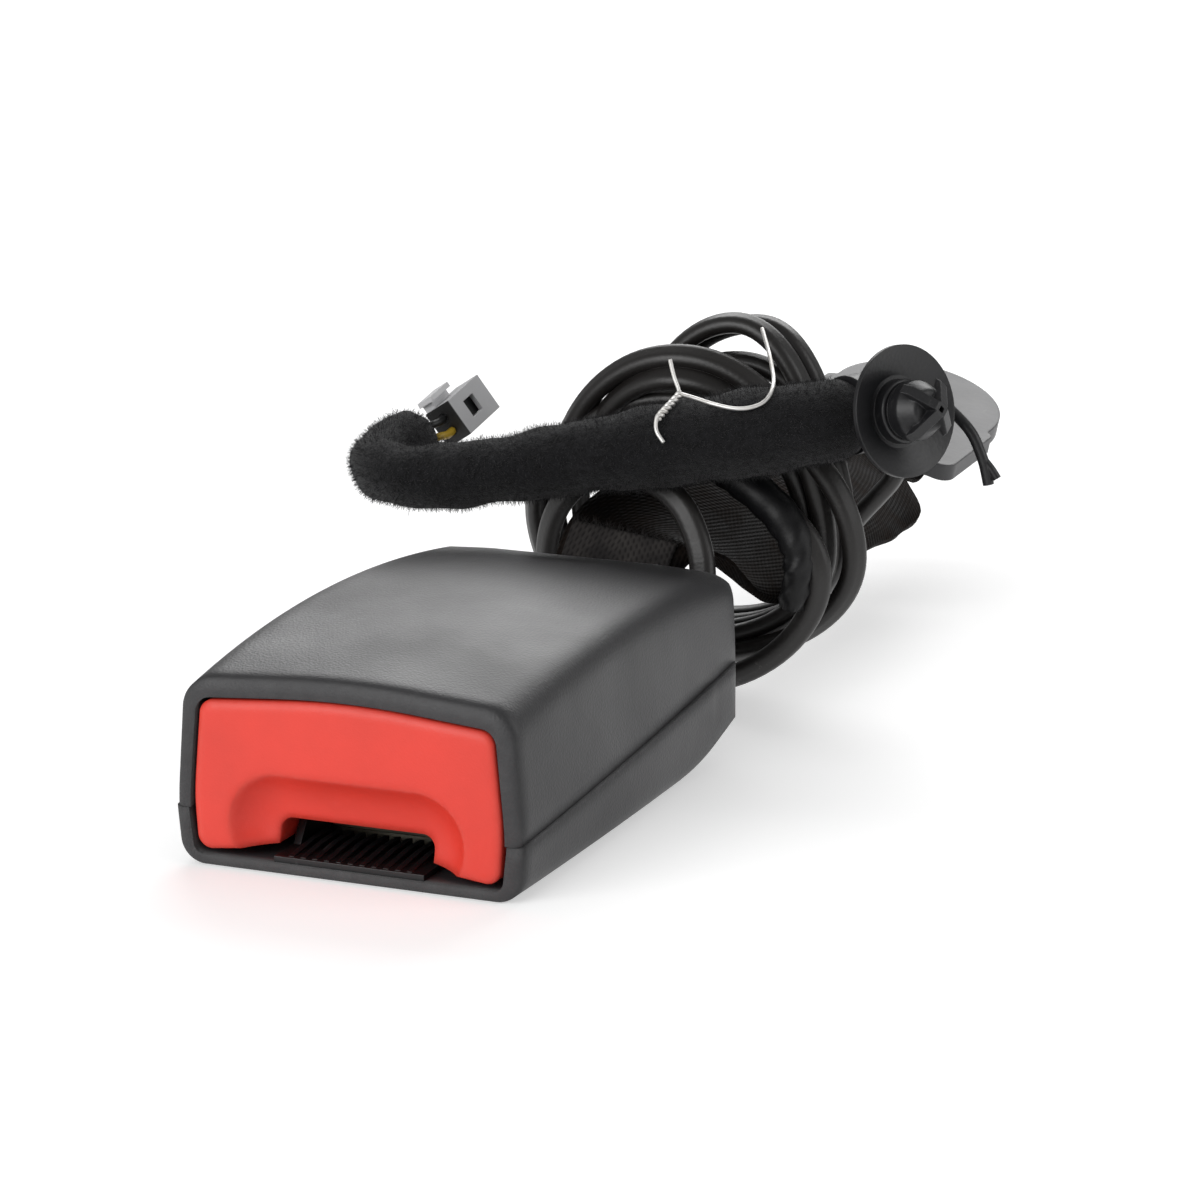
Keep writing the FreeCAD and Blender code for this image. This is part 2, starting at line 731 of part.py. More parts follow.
# The lead's stations. From the gland it makes an arch over the stalk and one turn round it, then runs
# into the coil. Its other end leaves the coil and goes into the fleece-covered loom.
arch_route = [
    Vector(gland.x, gland.y + 2.4, gland.z),
    Vector(19.3, 105.5, 23.5),
    Vector(18.2, 107.4, 32.5),
    Vector(12.9, 109.2, 41.2),
    Vector(3.0, 111.0, 44.4),
    Vector(-6.5, 112.5, 42.4),
    Vector(-13.5, 114.2, 35.0),
    Vector(-16.3, 116.0, 24.5),
    Vector(-13.5, 117.5, 13.5),
    Vector(-5.5, 118.0, 5.8),
    Vector(6.5, 118.0, 2.8),
    Vector(19.0, 118.0, 5.0),
    Vector(28.5, 118.0, 13.5),
    Vector(32.0, 118.0, 25.5),
    Vector(27.5, 118.0, 37.0),
    Vector(17.5, 118.0, 45.5),
    Vector(6.0, 118.6, 50.5),
    Vector(-4.0, 121.0, 53.0),
    Vector(-12.0, 127.0, 54.5),
]

tail_route = [
    Vector(36.0, 131.5, 27.0),
    Vector(39.2, 138.0, 32.5),
    Vector(43.0, 141.8, 42.0),
]

loom_route = [
    Vector(43.0, 141.8, 42.0),
    Vector(45.6, 139.2, 51.5),
    Vector(45.4, 128.5, 56.6),
    Vector(39.6, 116.3, 55.3),
    Vector(26.0, 110.5, 53.2),
    Vector(14.0, 106.2, 51.2),
    Vector(0.0, 101.8, 48.8),
    Vector(-14.0, 98.0, 46.0),
    Vector(-27.0, 94.6, 43.9),
    Vector(-37.8, 93.4, 43.8),
    Vector(-43.5, 103.4, 45.2),
    Vector(-38.2, 113.2, 47.0),
]


def make_coil():
    """The outer shape of the bundled turns: a ring, wider than high, with rounded edges."""
    def outline(inset):
        across = coil_half_across - inset
        high = coil_half_height - inset
        corner = coil_corner - inset
        return mirrored([(across, -high, corner), (across, high, corner)])

    ring = along_y(rounded_face(outline(0), at_xz), -coil_half_width, coil_half_width)
    ring = ring.cut(along_y(rounded_face(outline(coil_thickness), at_xz), -20, 20))
    rims = [e for e in ring.Edges if e.BoundBox.YLength < 0.01]
    ring = ring.makeFillet(2.5, rims)
    ring.translate(coil_centre)
    return ring


def make_sleeve():
    points = arch_route[12:17]
    start = points[0] + (points[1] - points[0]) * 0.5
    end = points[3] + (points[4] - points[3]) * 0.5
    path = [start] + points[1:4] + [end]
    outer = tube(path, sleeve_diameter)
    inner = tube(path, lead_diameter)
    return outer.cut(inner)


clip_base = Vector(42.3, 121.6, 55.8)
clip_axis = Vector(0.874, -0.447, 0.197).normalize()
clip_along = Vector(0.455, 0.89, 0.0).normalize()
dish_radius = 11.7


def clip_place():
    """The clip's own frame: its Z is the stud's axis, its Y runs along the loom."""
    across = clip_along.cross(clip_axis)
    return Placement(clip_base, Rotation(across, clip_along, clip_axis, "ZYX"))


def make_clip_band():
    outer = loom_diameter / 2 + 1.6
    band = Part.makeCylinder(outer, 5.0, Vector(0, -2.5, 0), Vector(0, 1, 0))
    head = block(-4.5, 4.5, -3.6, 3.6, outer - 1.2, outer + 1.4)
    band = band.fuse(head)
    band = band.cut(Part.makeCylinder(loom_diameter / 2, 40, Vector(0, -20, 0), Vector(0, 1, 0)))
    band.Placement = clip_place()
    return band


def make_clip_dish():
    """The clip's sprung dish and its stud: a hub ring, a groove and a domed head with four barbs."""
    base = loom_diameter / 2 + 3.0
    profile = [
        (0, base, 0),
        (4.0, base, 0),
        (5.5, base + 0.6, 0),
        (dish_radius, base + 3.0, 0),
        (dish_radius, base + 3.9, 0),
        (6.4, base + 1.9, 0),
        (hub_radius, base + 1.9, 0),
        (hub_radius, base + 4.2, 0.5),
        (head_radius - 0.5, base + 4.2, 0),
        (head_radius - 0.5, base + 5.0, 0),
        (head_radius, base + 5.2, 0),
        (head_radius, base + 7.2, 1.2),
        (3.6, base + 10.3, 1.2),
        (0, base + 10.8, 0),
    ]
    dish = rounded_face(profile, at_xz).revolve(Vector(0, 0, 0), Vector(0, 0, 1), 360)
    barb_outline = [
        Vector(0.5, 0, base + 9.8),
        Vector(2.6, 0, base + 9.6),
        Vector(head_radius + 1.1, 0, base + 8.4),
        Vector(head_radius + 0.4, 0, base + 10.0),
        Vector(1.2, 0, base + 13.0),
        Vector(0.5, 0, base + 13.0),
    ]
    for turn in range(4):
        barb = Part.Face(Part.makePolygon(barb_outline + [barb_outline[0]]))
        barb.translate(Vector(0, -0.9, 0))
        barb = barb.extrude(Vector(0, 1.8, 0))
        barb.rotate(Vector(0, 0, 0), Vector(0, 0, 1), 45 + 90 * turn)
        dish = dish.fuse(barb)
    dish = dish.removeSplitter()
    dish.Placement = clip_place()
    return dish


def make_clip_tail():
    """The free end of the clip's band, two-pronged, hanging down beyond the dish."""
    strap = tube([
        Vector(43.0, 122.0, 62.7),
        Vector(50.5, 127.5, 61.5),
        Vector(57.6, 129.3, 55.6),
        Vector(61.2, 129.0, 52.3),
        Vector(63.4, 129.0, 47.2),
        Vector(64.3, 129.0, 43.2),
    ], 2.0)
    prong = tube([Vector(63.2, 129.0, 47.8), Vector(64.9, 129.0, 45.9), Vector(65.9, 129.0, 44.4)], 1.5)
    return strap.fuse(prong)


connector_entry = Vector(-36.3, 118.2, 48.0)
connector_length = 13.7
connector_width = 7.4
connector_depth = 5.6


def connector_place():
    """The connector's own frame: Y is the way it mates, X runs down its window face, Z leaves that face."""
    along = Vector(-0.009, 0.985, 0.173).normalize()
    down = Vector(0.552, 0.151, -0.820).normalize()
    face = Vector(0.833, -0.087, 0.546).normalize()
    return Placement(connector_entry, Rotation(down, along, face, "YXZ"))


def make_connector():
    half = connector_width / 2
    body = block(-half, half, 0, connector_length, -connector_depth / 2, connector_depth / 2)
    window = block(-1.7, 1.7, 4.4, 8.6, 0.6, connector_depth)
    mouth = block(-half + 0.9, half - 0.9, connector_length - 6.0, connector_length + 1, -connector_depth / 2 + 0.9,
                  connector_depth / 2 - 0.9)
    body = body.cut(window).cut(mouth)
    for x in (-1.4, 1.4):
        body = body.cut(Part.makeCylinder(0.85, 8.0, Vector(x, -1, 0), Vector(0, 1, 0)))
    body.Placement = connector_place()
    return body


def make_connector_rail():
    half = connector_width / 2
    rail = block(-half - 2.4, -half, 1.0, 7.6, -connector_depth / 2 - 0.2, -connector_depth / 2 + 2.0)
    rail = rail.fuse(block(-half - 2.4, -half - 1.4, 0.0, 7.6, -connector_depth / 2 - 0.2, -connector_depth / 2 + 3.2))
    rail.Placement = connector_place()
    return rail


def make_terminals():
    pins = []
    for x in (-1.4, 1.4):
        pins.append(block(x - 0.5, x + 0.5, 7.0, connector_length - 1.0, -0.4, 0.4))
    group = Part.makeCompound(pins)
    group.Placement = connector_place()
    return group


def make_core_wire(side):
    place = connector_place()
    entry = place.multVec(Vector(side * 1.4, 0, 0))
    before = place.multVec(Vector(side * 1.4, -2.2, 0))
    inside = loom_route[-1] + Vector(side * 1.0, 0, -side * 0.8)
    return tube([inside, (inside + before) * 0.5 + Vector(0.4, -0.3, 0.3), before, entry], 1.5)


def make_tie_wire():
    points = [
        Vector(13.3, 103.5, 65.0),
        Vector(13.4, 104.5, 60.0),
        Vector(17.9, 107.6, 57.8),
        Vector(24.3, 110.3, 58.8),
        Vector(28.8, 115.5, 61.5),
        Vector(26.5, 121.5, 66.0),
        Vector(22.5, 127.0, 69.3),
    ]
    return tube(points, tie_diameter)


nodes = {
    "upper_cover": make_upper_cover,
    "lower_cover": make_lower_cover,
    "push_button": make_button,
    "button_springs": make_button_springs,
    "tongue_guide": make_guide,
    "steel_frame": make_frame,
    "pivot_pin": make_pivot_pin,
    "webbing_bar": make_webbing_bar,
    "latch_pawl": make_pawl,
    "lock_bar": make_lock_bar,
    "ejector": make_ejector,
    "ejector_spring": make_ejector_spring,
    "pawl_spring": make_pawl_spring,
    "switch_housing": make_switch_housing,
    "switch_pigtail": make_pigtail,
    "lead_grommet": make_grommet,
    "webbing_stalk": make_webbing,
    "anchor_plate": make_anchor_plate,
    "lead_front": lambda: tube(arch_route, lead_diameter, "lead_front"),
    "lead_coil": make_coil,
    "lead_tail": lambda: tube(tail_route, lead_diameter, "lead_tail"),
    "lead_sleeve": make_sleeve,
    "fleece_loom": lambda: tube(loom_route, loom_diameter, "fleece_loom"),
    "clip_band": make_clip_band,
    "clip_dish": make_clip_dish,
    "clip_tail": make_clip_tail,
    "connector_housing": make_connector,
    "connector_rail": make_connector_rail,
    "connector_terminals": make_terminals,
    "core_wire_yellow": lambda: make_core_wire(1),
    "core_wire_black": lambda: make_core_wire(-1),
    "tie_wire": make_tie_wire,
}

os.makedirs("parts", exist_ok=True)
made = {name: make() for name, make in nodes.items()}
length = made["anchor_plate"].optimalBoundingBox(False).YMax
for name, shape in made.items():
    shape.translate(Vector(0, -length / 2, 0))
    shape.exportStep("parts/" + name + ".step")
    print(name, "solids", len(shape.Solids), "volume", round(shape.Volume, 1), "valid", shape.isValid())
print("overall length", length)
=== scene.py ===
import bpy
import bmesh
import math
import random
from mathutils import Matrix, Vector


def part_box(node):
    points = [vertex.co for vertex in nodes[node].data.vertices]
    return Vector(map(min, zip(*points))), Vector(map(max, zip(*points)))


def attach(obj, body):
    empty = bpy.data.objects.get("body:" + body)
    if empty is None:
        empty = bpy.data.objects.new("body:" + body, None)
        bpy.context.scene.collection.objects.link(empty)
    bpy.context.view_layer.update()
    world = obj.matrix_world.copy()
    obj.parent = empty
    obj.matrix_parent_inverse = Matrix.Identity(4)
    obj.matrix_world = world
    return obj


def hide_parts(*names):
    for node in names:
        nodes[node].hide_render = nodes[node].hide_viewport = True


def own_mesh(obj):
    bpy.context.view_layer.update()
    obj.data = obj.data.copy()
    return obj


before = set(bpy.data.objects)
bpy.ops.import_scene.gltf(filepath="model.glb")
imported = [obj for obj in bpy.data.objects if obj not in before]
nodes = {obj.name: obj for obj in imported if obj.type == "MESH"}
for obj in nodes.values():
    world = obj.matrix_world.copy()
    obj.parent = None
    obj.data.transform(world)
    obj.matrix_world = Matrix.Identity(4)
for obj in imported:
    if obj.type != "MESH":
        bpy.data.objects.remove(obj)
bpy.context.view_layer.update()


# ---- Upper cover ----
# The upper half of the buckle's housing: one moulding of dark grey polypropylene with a fine spark-eroded
# grain, dull on top from years of hands and belts. It snaps onto the lower cover along the sloping
# parting line.

def group(name, inputs, outputs):
    """An empty shader node group with its sockets."""
    tree = bpy.data.node_groups.new(name, "ShaderNodeTree")
    for label, kind, value in inputs:
        socket = tree.interface.new_socket(label, in_out="INPUT", socket_type=kind)
        socket.default_value = value
    for label, kind in outputs:
        tree.interface.new_socket(label, in_out="OUTPUT", socket_type=kind)
    return tree, tree.nodes.new("NodeGroupInput"), tree.nodes.new("NodeGroupOutput")


def add(tree, kind, settings=(), values=()):
    """A node with its settings and the values of its unlinked sockets."""
    made = tree.nodes.new(kind)
    for name, value in dict(settings).items():
        setattr(made, name, value)
    for name, value in dict(values).items():
        made.inputs[name].default_value = value
    return made


def link(tree, *pairs):
    for a, b in pairs:
        tree.links.new(a, b)


def noise(tree, scale, detail, vector, rough=0.55):
    made = add(tree, "ShaderNodeTexNoise", values={"Scale": scale, "Detail": detail, "Roughness": rough})
    link(tree, (vector, made.inputs["Vector"]))
    return made.outputs["Fac"]


def spread(tree, value, low, high, to_low, to_high):
    """Maps a stretch of a value onto another one, clamped."""
    made = add(tree, "ShaderNodeMapRange", {"clamp": True},
               {"From Min": low, "From Max": high, "To Min": to_low, "To Max": to_high})
    link(tree, (value, made.inputs["Value"]))
    return made.outputs["Result"]


def maths(tree, operation, a, b=0.0):
    made = add(tree, "ShaderNodeMath", {"operation": operation})
    for socket, value in zip(made.inputs, (a, b)):
        if isinstance(value, (int, float)):
            socket.default_value = value
        else:
            link(tree, (value, socket))
    return made.outputs["Value"]


def mixed(tree, factor, a, b):
    """Two colours mixed by a mask."""
    made = add(tree, "ShaderNodeMix", {"data_type": "RGBA"})
    link(tree, (factor, made.inputs["Factor"]))
    for socket, value in ((made.inputs["A"], a), (made.inputs["B"], b)):
        if isinstance(value, tuple):
            socket.default_value = (*value, 1.0)
        else:
            link(tree, (value, socket))
    return made.outputs["Result"]


moulded_grain, inside, outside = group("Moulded grain",
                                       [("Vector", "NodeSocketVector", (0, 0, 0)),
                                        ("Scale", "NodeSocketFloat", 2600.0)],
                                       [("Height", "NodeSocketFloat")])
cells = add(moulded_grain, "ShaderNodeTexVoronoi", {"feature": "SMOOTH_F1"}, {"Smoothness": 0.6})
link(moulded_grain, (inside.outputs["Vector"], cells.inputs["Vector"]),
     (inside.outputs["Scale"], cells.inputs["Scale"]))
fine = add(moulded_grain, "ShaderNodeTexNoise", values={"Detail": 2.0})
link(moulded_grain, (inside.outputs["Vector"], fine.inputs["Vector"]),
     (inside.outputs["Scale"], fine.inputs["Scale"]))
link(moulded_grain, (maths(moulded_grain, "ADD", cells.outputs["Distance"], fine.outputs["Fac"]),
                     outside.inputs["Height"]))

handled, inside, outside = group("Handling marks",
                                 [("Vector", "NodeSocketVector", (0, 0, 0)),
                                  ("Amount", "NodeSocketFloat", 0.5)],
                                 [("Cloud", "NodeSocketFloat"), ("Scuffs", "NodeSocketFloat")])
cloud = noise(handled, 38.0, 4.0, inside.outputs["Vector"])
link(handled, (spread(handled, cloud, 0.35, 0.68, 0.0, 1.0), outside.inputs["Cloud"]))
stretched = add(handled, "ShaderNodeMapping",
                values={"Rotation": (0.2, 0.1, 0.7), "Scale": (1.0, 0.16, 1.0)})
link(handled, (inside.outputs["Vector"], stretched.inputs["Vector"]))
strokes = noise(handled, 620.0, 3.0, stretched.outputs["Vector"], 0.7)
patches = noise(handled, 55.0, 3.0, inside.outputs["Vector"])
marks = maths(handled, "MULTIPLY", spread(handled, strokes, 0.6, 0.72, 0.0, 1.0),
              spread(handled, patches, 0.52, 0.66, 0.0, 1.0))
link(handled, (maths(handled, "MULTIPLY", marks, inside.outputs["Amount"]), outside.inputs["Scuffs"]))

rubbed, inside, outside = group("Rubbed edges",
                                [("Vector", "NodeSocketVector", (0, 0, 0)),
                                 ("Width", "NodeSocketFloat", 0.0006)],
                                [("Edge", "NodeSocketFloat"), ("Normal", "NodeSocketVector")])
softened = add(rubbed, "ShaderNodeBevel", {"samples": 6})
link(rubbed, (inside.outputs["Width"], softened.inputs["Radius"]),
     (softened.outputs["Normal"], outside.inputs["Normal"]))
shape = add(rubbed, "ShaderNodeNewGeometry")
facing = add(rubbed, "ShaderNodeVectorMath", {"operation": "DOT_PRODUCT"})
link(rubbed, (softened.outputs["Normal"], facing.inputs[0]), (shape.outputs["Normal"], facing.inputs[1]))
turned = spread(rubbed, facing.outputs["Value"], 0.995, 0.9, 0.0, 1.0)
broken = spread(rubbed, noise(rubbed, 420.0, 3.0, inside.outputs["Vector"]), 0.4, 0.6, 0.25, 1.0)
link(rubbed, (maths(rubbed, "MULTIPLY", turned, broken), outside.inputs["Edge"]))


def moulded(name, colour, worn, roughness, grain=2600.0, depth=0.00003, marks=0.5, width=0.0005,
            specular=0.5):
    """A moulded plastic: grain, cloudy handling marks, scuffs and edges rubbed lighter."""
    made = bpy.data.materials.new(name)
    made.use_nodes = True
    tree = made.node_tree
    shader = tree.nodes["Principled BSDF"]
    place = add(tree, "ShaderNodeTexCoord").outputs["Object"]
    grain_node = add(tree, "ShaderNodeGroup", {"node_tree": moulded_grain}, {"Scale": grain})
    marks_node = add(tree, "ShaderNodeGroup", {"node_tree": handled}, {"Amount": marks})
    edge_node = add(tree, "ShaderNodeGroup", {"node_tree": rubbed}, {"Width": width})
    for made_node in (grain_node, marks_node, edge_node):
        link(tree, (place, made_node.inputs["Vector"]))
    darker = tuple(c * 0.86 for c in colour)
    clouded = mixed(tree, marks_node.outputs["Cloud"], darker, colour)
    scuffed = mixed(tree, marks_node.outputs["Scuffs"], clouded, worn)
    edged = mixed(tree, maths(tree, "MULTIPLY", edge_node.outputs["Edge"], 0.55), scuffed, worn)
    rough = spread(tree, marks_node.outputs["Cloud"], 0.0, 1.0, roughness + 0.05, roughness - 0.05)
    bump = add(tree, "ShaderNodeBump", values={"Strength": 1.0, "Distance": depth})
    link(tree, (edged, shader.inputs["Base Color"]), (rough, shader.inputs["Roughness"]),
         (grain_node.outputs["Height"], bump.inputs["Height"]),
         (edge_node.outputs["Normal"], bump.inputs["Normal"]),
         (bump.outputs["Normal"], shader.inputs["Normal"]))
    shader.inputs["Specular IOR Level"].default_value = specular
    return made


def dress(material, *names):
    for name in names:
        nodes[name].data.materials.clear()
        nodes[name].data.materials.append(material)


housing_plastic = moulded("Grained housing plastic", (0.027, 0.0265, 0.0285), (0.055, 0.055, 0.057), 0.45,
                          2300.0, 0.00004, 0.15, 0.0045)


def rolled_front(material, front, depth):
    """Leans the shading normal forwards near the front edge, which then reads as a wide roll."""
    tree = material.node_tree
    bump = next(n for n in tree.nodes if n.type == "BUMP")
    normal = bump.inputs["Normal"].links[0].from_socket
    parts = add(tree, "ShaderNodeSeparateXYZ")
    link(tree, (add(tree, "ShaderNodeTexCoord").outputs["Object"], parts.inputs["Vector"]))
    near = spread(tree, parts.outputs["Y"], front + depth, front, 0.0, 1.0)
    lean = add(tree, "ShaderNodeVectorMath", {"operation": "SCALE"})
    lean.inputs[0].default_value = (0, -1, 0)
    total = add(tree, "ShaderNodeVectorMath", {"operation": "ADD"})
    unit = add(tree, "ShaderNodeVectorMath", {"operation": "NORMALIZE"})
    link(tree, (maths(tree, "MULTIPLY", near, near), lean.inputs["Scale"]), (normal, total.inputs[0]),
         (lean.outputs["Vector"], total.inputs[1]), (total.outputs["Vector"], unit.inputs[0]),
         (unit.outputs["Vector"], bump.inputs["Normal"]))


rolled_front(housing_plastic, front=-0.1308, depth=0.0055)
dress(housing_plastic, "upper_cover")


# ---- Lower cover ----
# The tray that carries the steel frame, of the same grained plastic. It stands a hair proud of the upper
# cover, so a thin lit line runs along the parting line.

dress(housing_plastic, "lower_cover")


# ---- Push button ----
# The red release button, moulded in ABS with a fine satin finish and a finger scoop over the tongue's notch.
# Its front edges are worn smooth, so a wide soft edge carries the light round them.

button_plastic = moulded("Red button plastic", (0.86, 0.055, 0.034), (0.86, 0.09, 0.06), 0.38, 3200.0,
                         0.000015, 0.2, 0.0024)
dress(button_plastic, "push_button")


# ---- Tongue guide, ejector and switch ----
# Black acetal mouldings inside the mouth: the ribbed lead-in, the sprung ejector and the switch box
# beside it. Only the ribs catch any light from outside.

guide_plastic = moulded("Black acetal", (0.008, 0.008, 0.009), (0.07, 0.07, 0.07), 0.35, 1800.0, 0.00001,
                        0.8, 0.0002)
dress(guide_plastic, "tongue_guide", "ejector", "switch_housing")


# ---- Frame, latch and springs ----
# Pressed steel, zinc plated and yellow passivated: frame, pivot pin, webbing bar, pawl and lock bar.
# The springs are bright wire. The two kinds that close are wound here.

def metal(name, colour, stained, roughness, brushing=(1.0, 0.06, 1.0), width=0.0004):
    """A plated or painted metal with faint drawn lines, stains and soft edges."""
    made = bpy.data.materials.new(name)
    made.use_nodes = True
    tree = made.node_tree
    shader = tree.nodes["Principled BSDF"]
    shader.inputs["Metallic"].default_value = 1.0
    place = add(tree, "ShaderNodeTexCoord").outputs["Object"]
    drawn = add(tree, "ShaderNodeMapping", values={"Scale": brushing})
    edge_node = add(tree, "ShaderNodeGroup", {"node_tree": rubbed}, {"Width": width})
    link(tree, (place, drawn.inputs["Vector"]), (place, edge_node.inputs["Vector"]))
    lines = noise(tree, 2400.0, 2.0, drawn.outputs["Vector"])
    stains = spread(tree, noise(tree, 130.0, 5.0, place), 0.42, 0.66, 0.0, 1.0)
    bump = add(tree, "ShaderNodeBump", values={"Strength": 0.35, "Distance": 0.00002})
    link(tree, (mixed(tree, stains, colour, stained), shader.inputs["Base Color"]),
         (spread(tree, stains, 0.0, 1.0, roughness, roughness + 0.16), shader.inputs["Roughness"]),
         (lines, bump.inputs["Height"]), (edge_node.outputs["Normal"], bump.inputs["Normal"]),
         (bump.outputs["Normal"], shader.inputs["Normal"]))
    return made


plated_steel = metal("Passivated steel", (0.27, 0.26, 0.21), (0.18, 0.16, 0.12), 0.36)
dress(plated_steel, "steel_frame", "pivot_pin", "webbing_bar", "latch_pawl", "lock_bar")
bright_wire = metal("Bright wire", (0.74, 0.74, 0.73), (0.55, 0.55, 0.55), 0.2)
dress(bright_wire, "pawl_spring")


def finished(name, mesh, smooth=True):
    """An object in the scene, made of a bmesh that is used up."""
    data = bpy.data.meshes.new(name)
    mesh.to_mesh(data)
    mesh.free()
    if smooth:
        data.polygons.foreach_set("use_smooth", [True] * len(data.polygons))
    piece = bpy.data.objects.new(name, data)
    bpy.context.scene.collection.objects.link(piece)
    return piece


STEPS_PER_COIL = 24
WIRE_SIDES = 8


def wound_spring(name, starts, radius, wire, pitch, turns):
    """Open coil springs along the row's Y, one from each start."""
    mesh = bmesh.new()
    for start in starts:
        before = None
        for i in range(STEPS_PER_COIL * turns + 1):
            angle = 2 * math.pi * i / STEPS_PER_COIL
            middle = start + Vector((radius * math.cos(angle), pitch * i / STEPS_PER_COIL,
                                     radius * math.sin(angle)))
            out = Vector((math.cos(angle), 0, math.sin(angle)))
            ring = [mesh.verts.new(middle + (out * math.cos(t) + Vector((0, 1, 0)) * math.sin(t)) * wire / 2)
                    for t in (2 * math.pi * k / WIRE_SIDES for k in range(WIRE_SIDES))]
            if before:
                for k in range(WIRE_SIDES):
                    after = (k + 1) % WIRE_SIDES
                    mesh.faces.new((before[k], before[after], ring[after], ring[k]))
            else:
                mesh.faces.new(ring)
            before = ring
        mesh.faces.new(before)
    bmesh.ops.recalc_face_normals(mesh, faces=mesh.faces)
    piece = finished(name, mesh)
    piece.data.materials.append(bright_wire)
    return piece


for spring_name, node, joint, radius, wire, pitch, turns, keep in (
        ("button_springs_wound", "button_springs", "button_press", 0.0023, 0.0006, 0.00315, 6, 0.66),
        ("ejector_spring_wound", "ejector_spring", "ejector_slide", 0.00145, 0.0005, 0.0026, 7, 0.38)):
    low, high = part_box(node)
    front = low[1] + wire / 2
    height_middle = (low[2] + high[2]) / 2
    starts = [Vector(((low[0] + high[0]) / 2, front, height_middle))]
    if node == "button_springs":
        starts = [Vector((low[0] + radius + wire / 2, front, height_middle)),
                  Vector((high[0] - radius - wire / 2, front, height_middle))]
    spring = wound_spring(spring_name, starts, radius, wire, pitch, turns)
    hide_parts(node)
    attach(spring, "buckle")
    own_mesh(spring)


# ---- Anchor plate ----
# A 3.5 mm pressed plate with the anchor bolt's hole, in satin grey paint that has dulled and picked up dust.
# It hangs in the webbing's loop and swings there.

plate_paint = moulded("Satin plate paint", (0.06, 0.06, 0.063), (0.10, 0.10, 0.10), 0.42, 900.0, 0.000012,
                      0.7, 0.0006)
dress(plate_paint, "anchor_plate")


# ---- Webbing stalk ----
# Black polyester belt webbing, doubled: it goes round the bar in the buckle, rises behind it, runs on to the
# plate and round the plate's bar. It is modelled as a strip swept through the stations of the solid.

ROW = Vector((0, -0.130762, 0))


def from_buckle(x, y, z):
    """A point measured in millimetres from the buckle's front edge, in the row frame."""
    return Vector((x, y, z)) / 1000 + ROW


def smooth_stations(stations, steps):
    """Places between the stations on a Catmull-Rom line; each station is (position, yaw, pitch, roll)."""
    values = [(Vector(p), Vector(angles)) for p, *angles in stations]
    made = []
    count = len(values)
    for i in range(count - 1):
        around = [values[max(0, min(count - 1, i + k))] for k in (-1, 0, 1, 2)]
        for step in range(steps):
            t = step / steps
            weights = (-0.5 * t + t * t - 0.5 * t ** 3, 1 - 2.5 * t * t + 1.5 * t ** 3,
                       0.5 * t + 2 * t * t - 1.5 * t ** 3, -0.5 * t * t + 0.5 * t ** 3)
            made.append(tuple(sum((w * v[k] for w, v in zip(weights, around)),
                                  Vector((0, 0, 0))) for k in (0, 1)))
    made.append(values[-1])
    return made


def station_matrix(position, angles):
    yaw, pitch, roll = (math.radians(a) for a in angles)
    turn = Matrix.Rotation(yaw, 4, "Z") @ Matrix.Rotation(roll, 4, "Y") @ Matrix.Rotation(pitch, 4, "X")
    return Matrix.Translation(from_buckle(*position)) @ turn


def ring_edges(mesh, ring):
    """The edges of a closed ring of vertices, made where they are missing."""
    edges = []
    for a, b in zip(ring, ring[1:] + ring[:1]):
        edges.append(mesh.edges.get((a, b)) or mesh.edges.new((a, b)))
    return edges


def skinned(mesh, rings):
    """Closes a row of rings into one skin with both ends capped."""
    for a, b in zip(rings, rings[1:]):
        bmesh.ops.bridge_loops(mesh, edges=ring_edges(mesh, a) + ring_edges(mesh, b))
    for ring in (rings[0], rings[-1]):
        mesh.faces.new(ring)
    bmesh.ops.recalc_face_normals(mesh, faces=mesh.faces)


def swept_strip(name, places, half, thick, opened=lambda y: 0.0):
    """Sweeps a flat strip with rounded selvedges through the places. Its right half reaches further out where
    it is opened. 'along' and 'across' are kept for the weave."""
    mesh = bmesh.new()
    along = mesh.verts.layers.float.new("along")
    across = mesh.verts.layers.float.new("across")
    profile = []
    spans = 12
    selvedge = 0.62
    for i in range(spans + 1):
        x = -half + 2 * half * i / spans
        bulge = selvedge if i in (0, spans) else 1.0
        profile.append((x, thick * bulge))
    outline = profile + [(x, -z) for x, z in reversed(profile)]
    run = 0.0
    rings = []
    last = None
    for position, angles in places:
        matrix = station_matrix(position, angles)
        here = matrix.to_translation()
        run += (here - last).length if last is not None else 0.0
        last = here
        ring = []
        for x, z in outline:
            reach = x * (1 + opened(position.y)) if x > 0 else x
            vert = mesh.verts.new(matrix @ Vector((reach, 0, z)))
            vert[along] = run
            vert[across] = reach
            ring.append(vert)
        rings.append(ring)
    skinned(mesh, rings)
    return finished(name, mesh)


woven, inside, outside = group("Belt weave",
                               [("Along", "NodeSocketFloat", 0.0), ("Across", "NodeSocketFloat", 0.0),
                                ("Pitch", "NodeSocketFloat", 0.0011)],
                               [("Height", "NodeSocketFloat"), ("Valley shade", "NodeSocketFloat")])


def wave(tree, value, pitch):
    """A sine that repeats every pitch."""
    turns = maths(tree, "DIVIDE", value, pitch)
    return maths(tree, "SINE", maths(tree, "MULTIPLY", turns, 2 * math.pi))


warp = wave(woven, inside.outputs["Across"], inside.outputs["Pitch"])
diagonal = maths(woven, "ADD", inside.outputs["Along"],
                 maths(woven, "ABSOLUTE", inside.outputs["Across"]))
weft = wave(woven, diagonal, maths(woven, "MULTIPLY", inside.outputs["Pitch"], 1.6))
height = maths(woven, "ADD", maths(woven, "MULTIPLY", warp, 0.6), maths(woven, "MULTIPLY", weft, 0.5))
# Valley shade is a mask for painted shade in the hollows between the threads.
link(woven, (height, outside.inputs["Height"]),
     (spread(woven, height, -0.9, 0.1, 1.0, 0.0), outside.inputs["Valley shade"]))


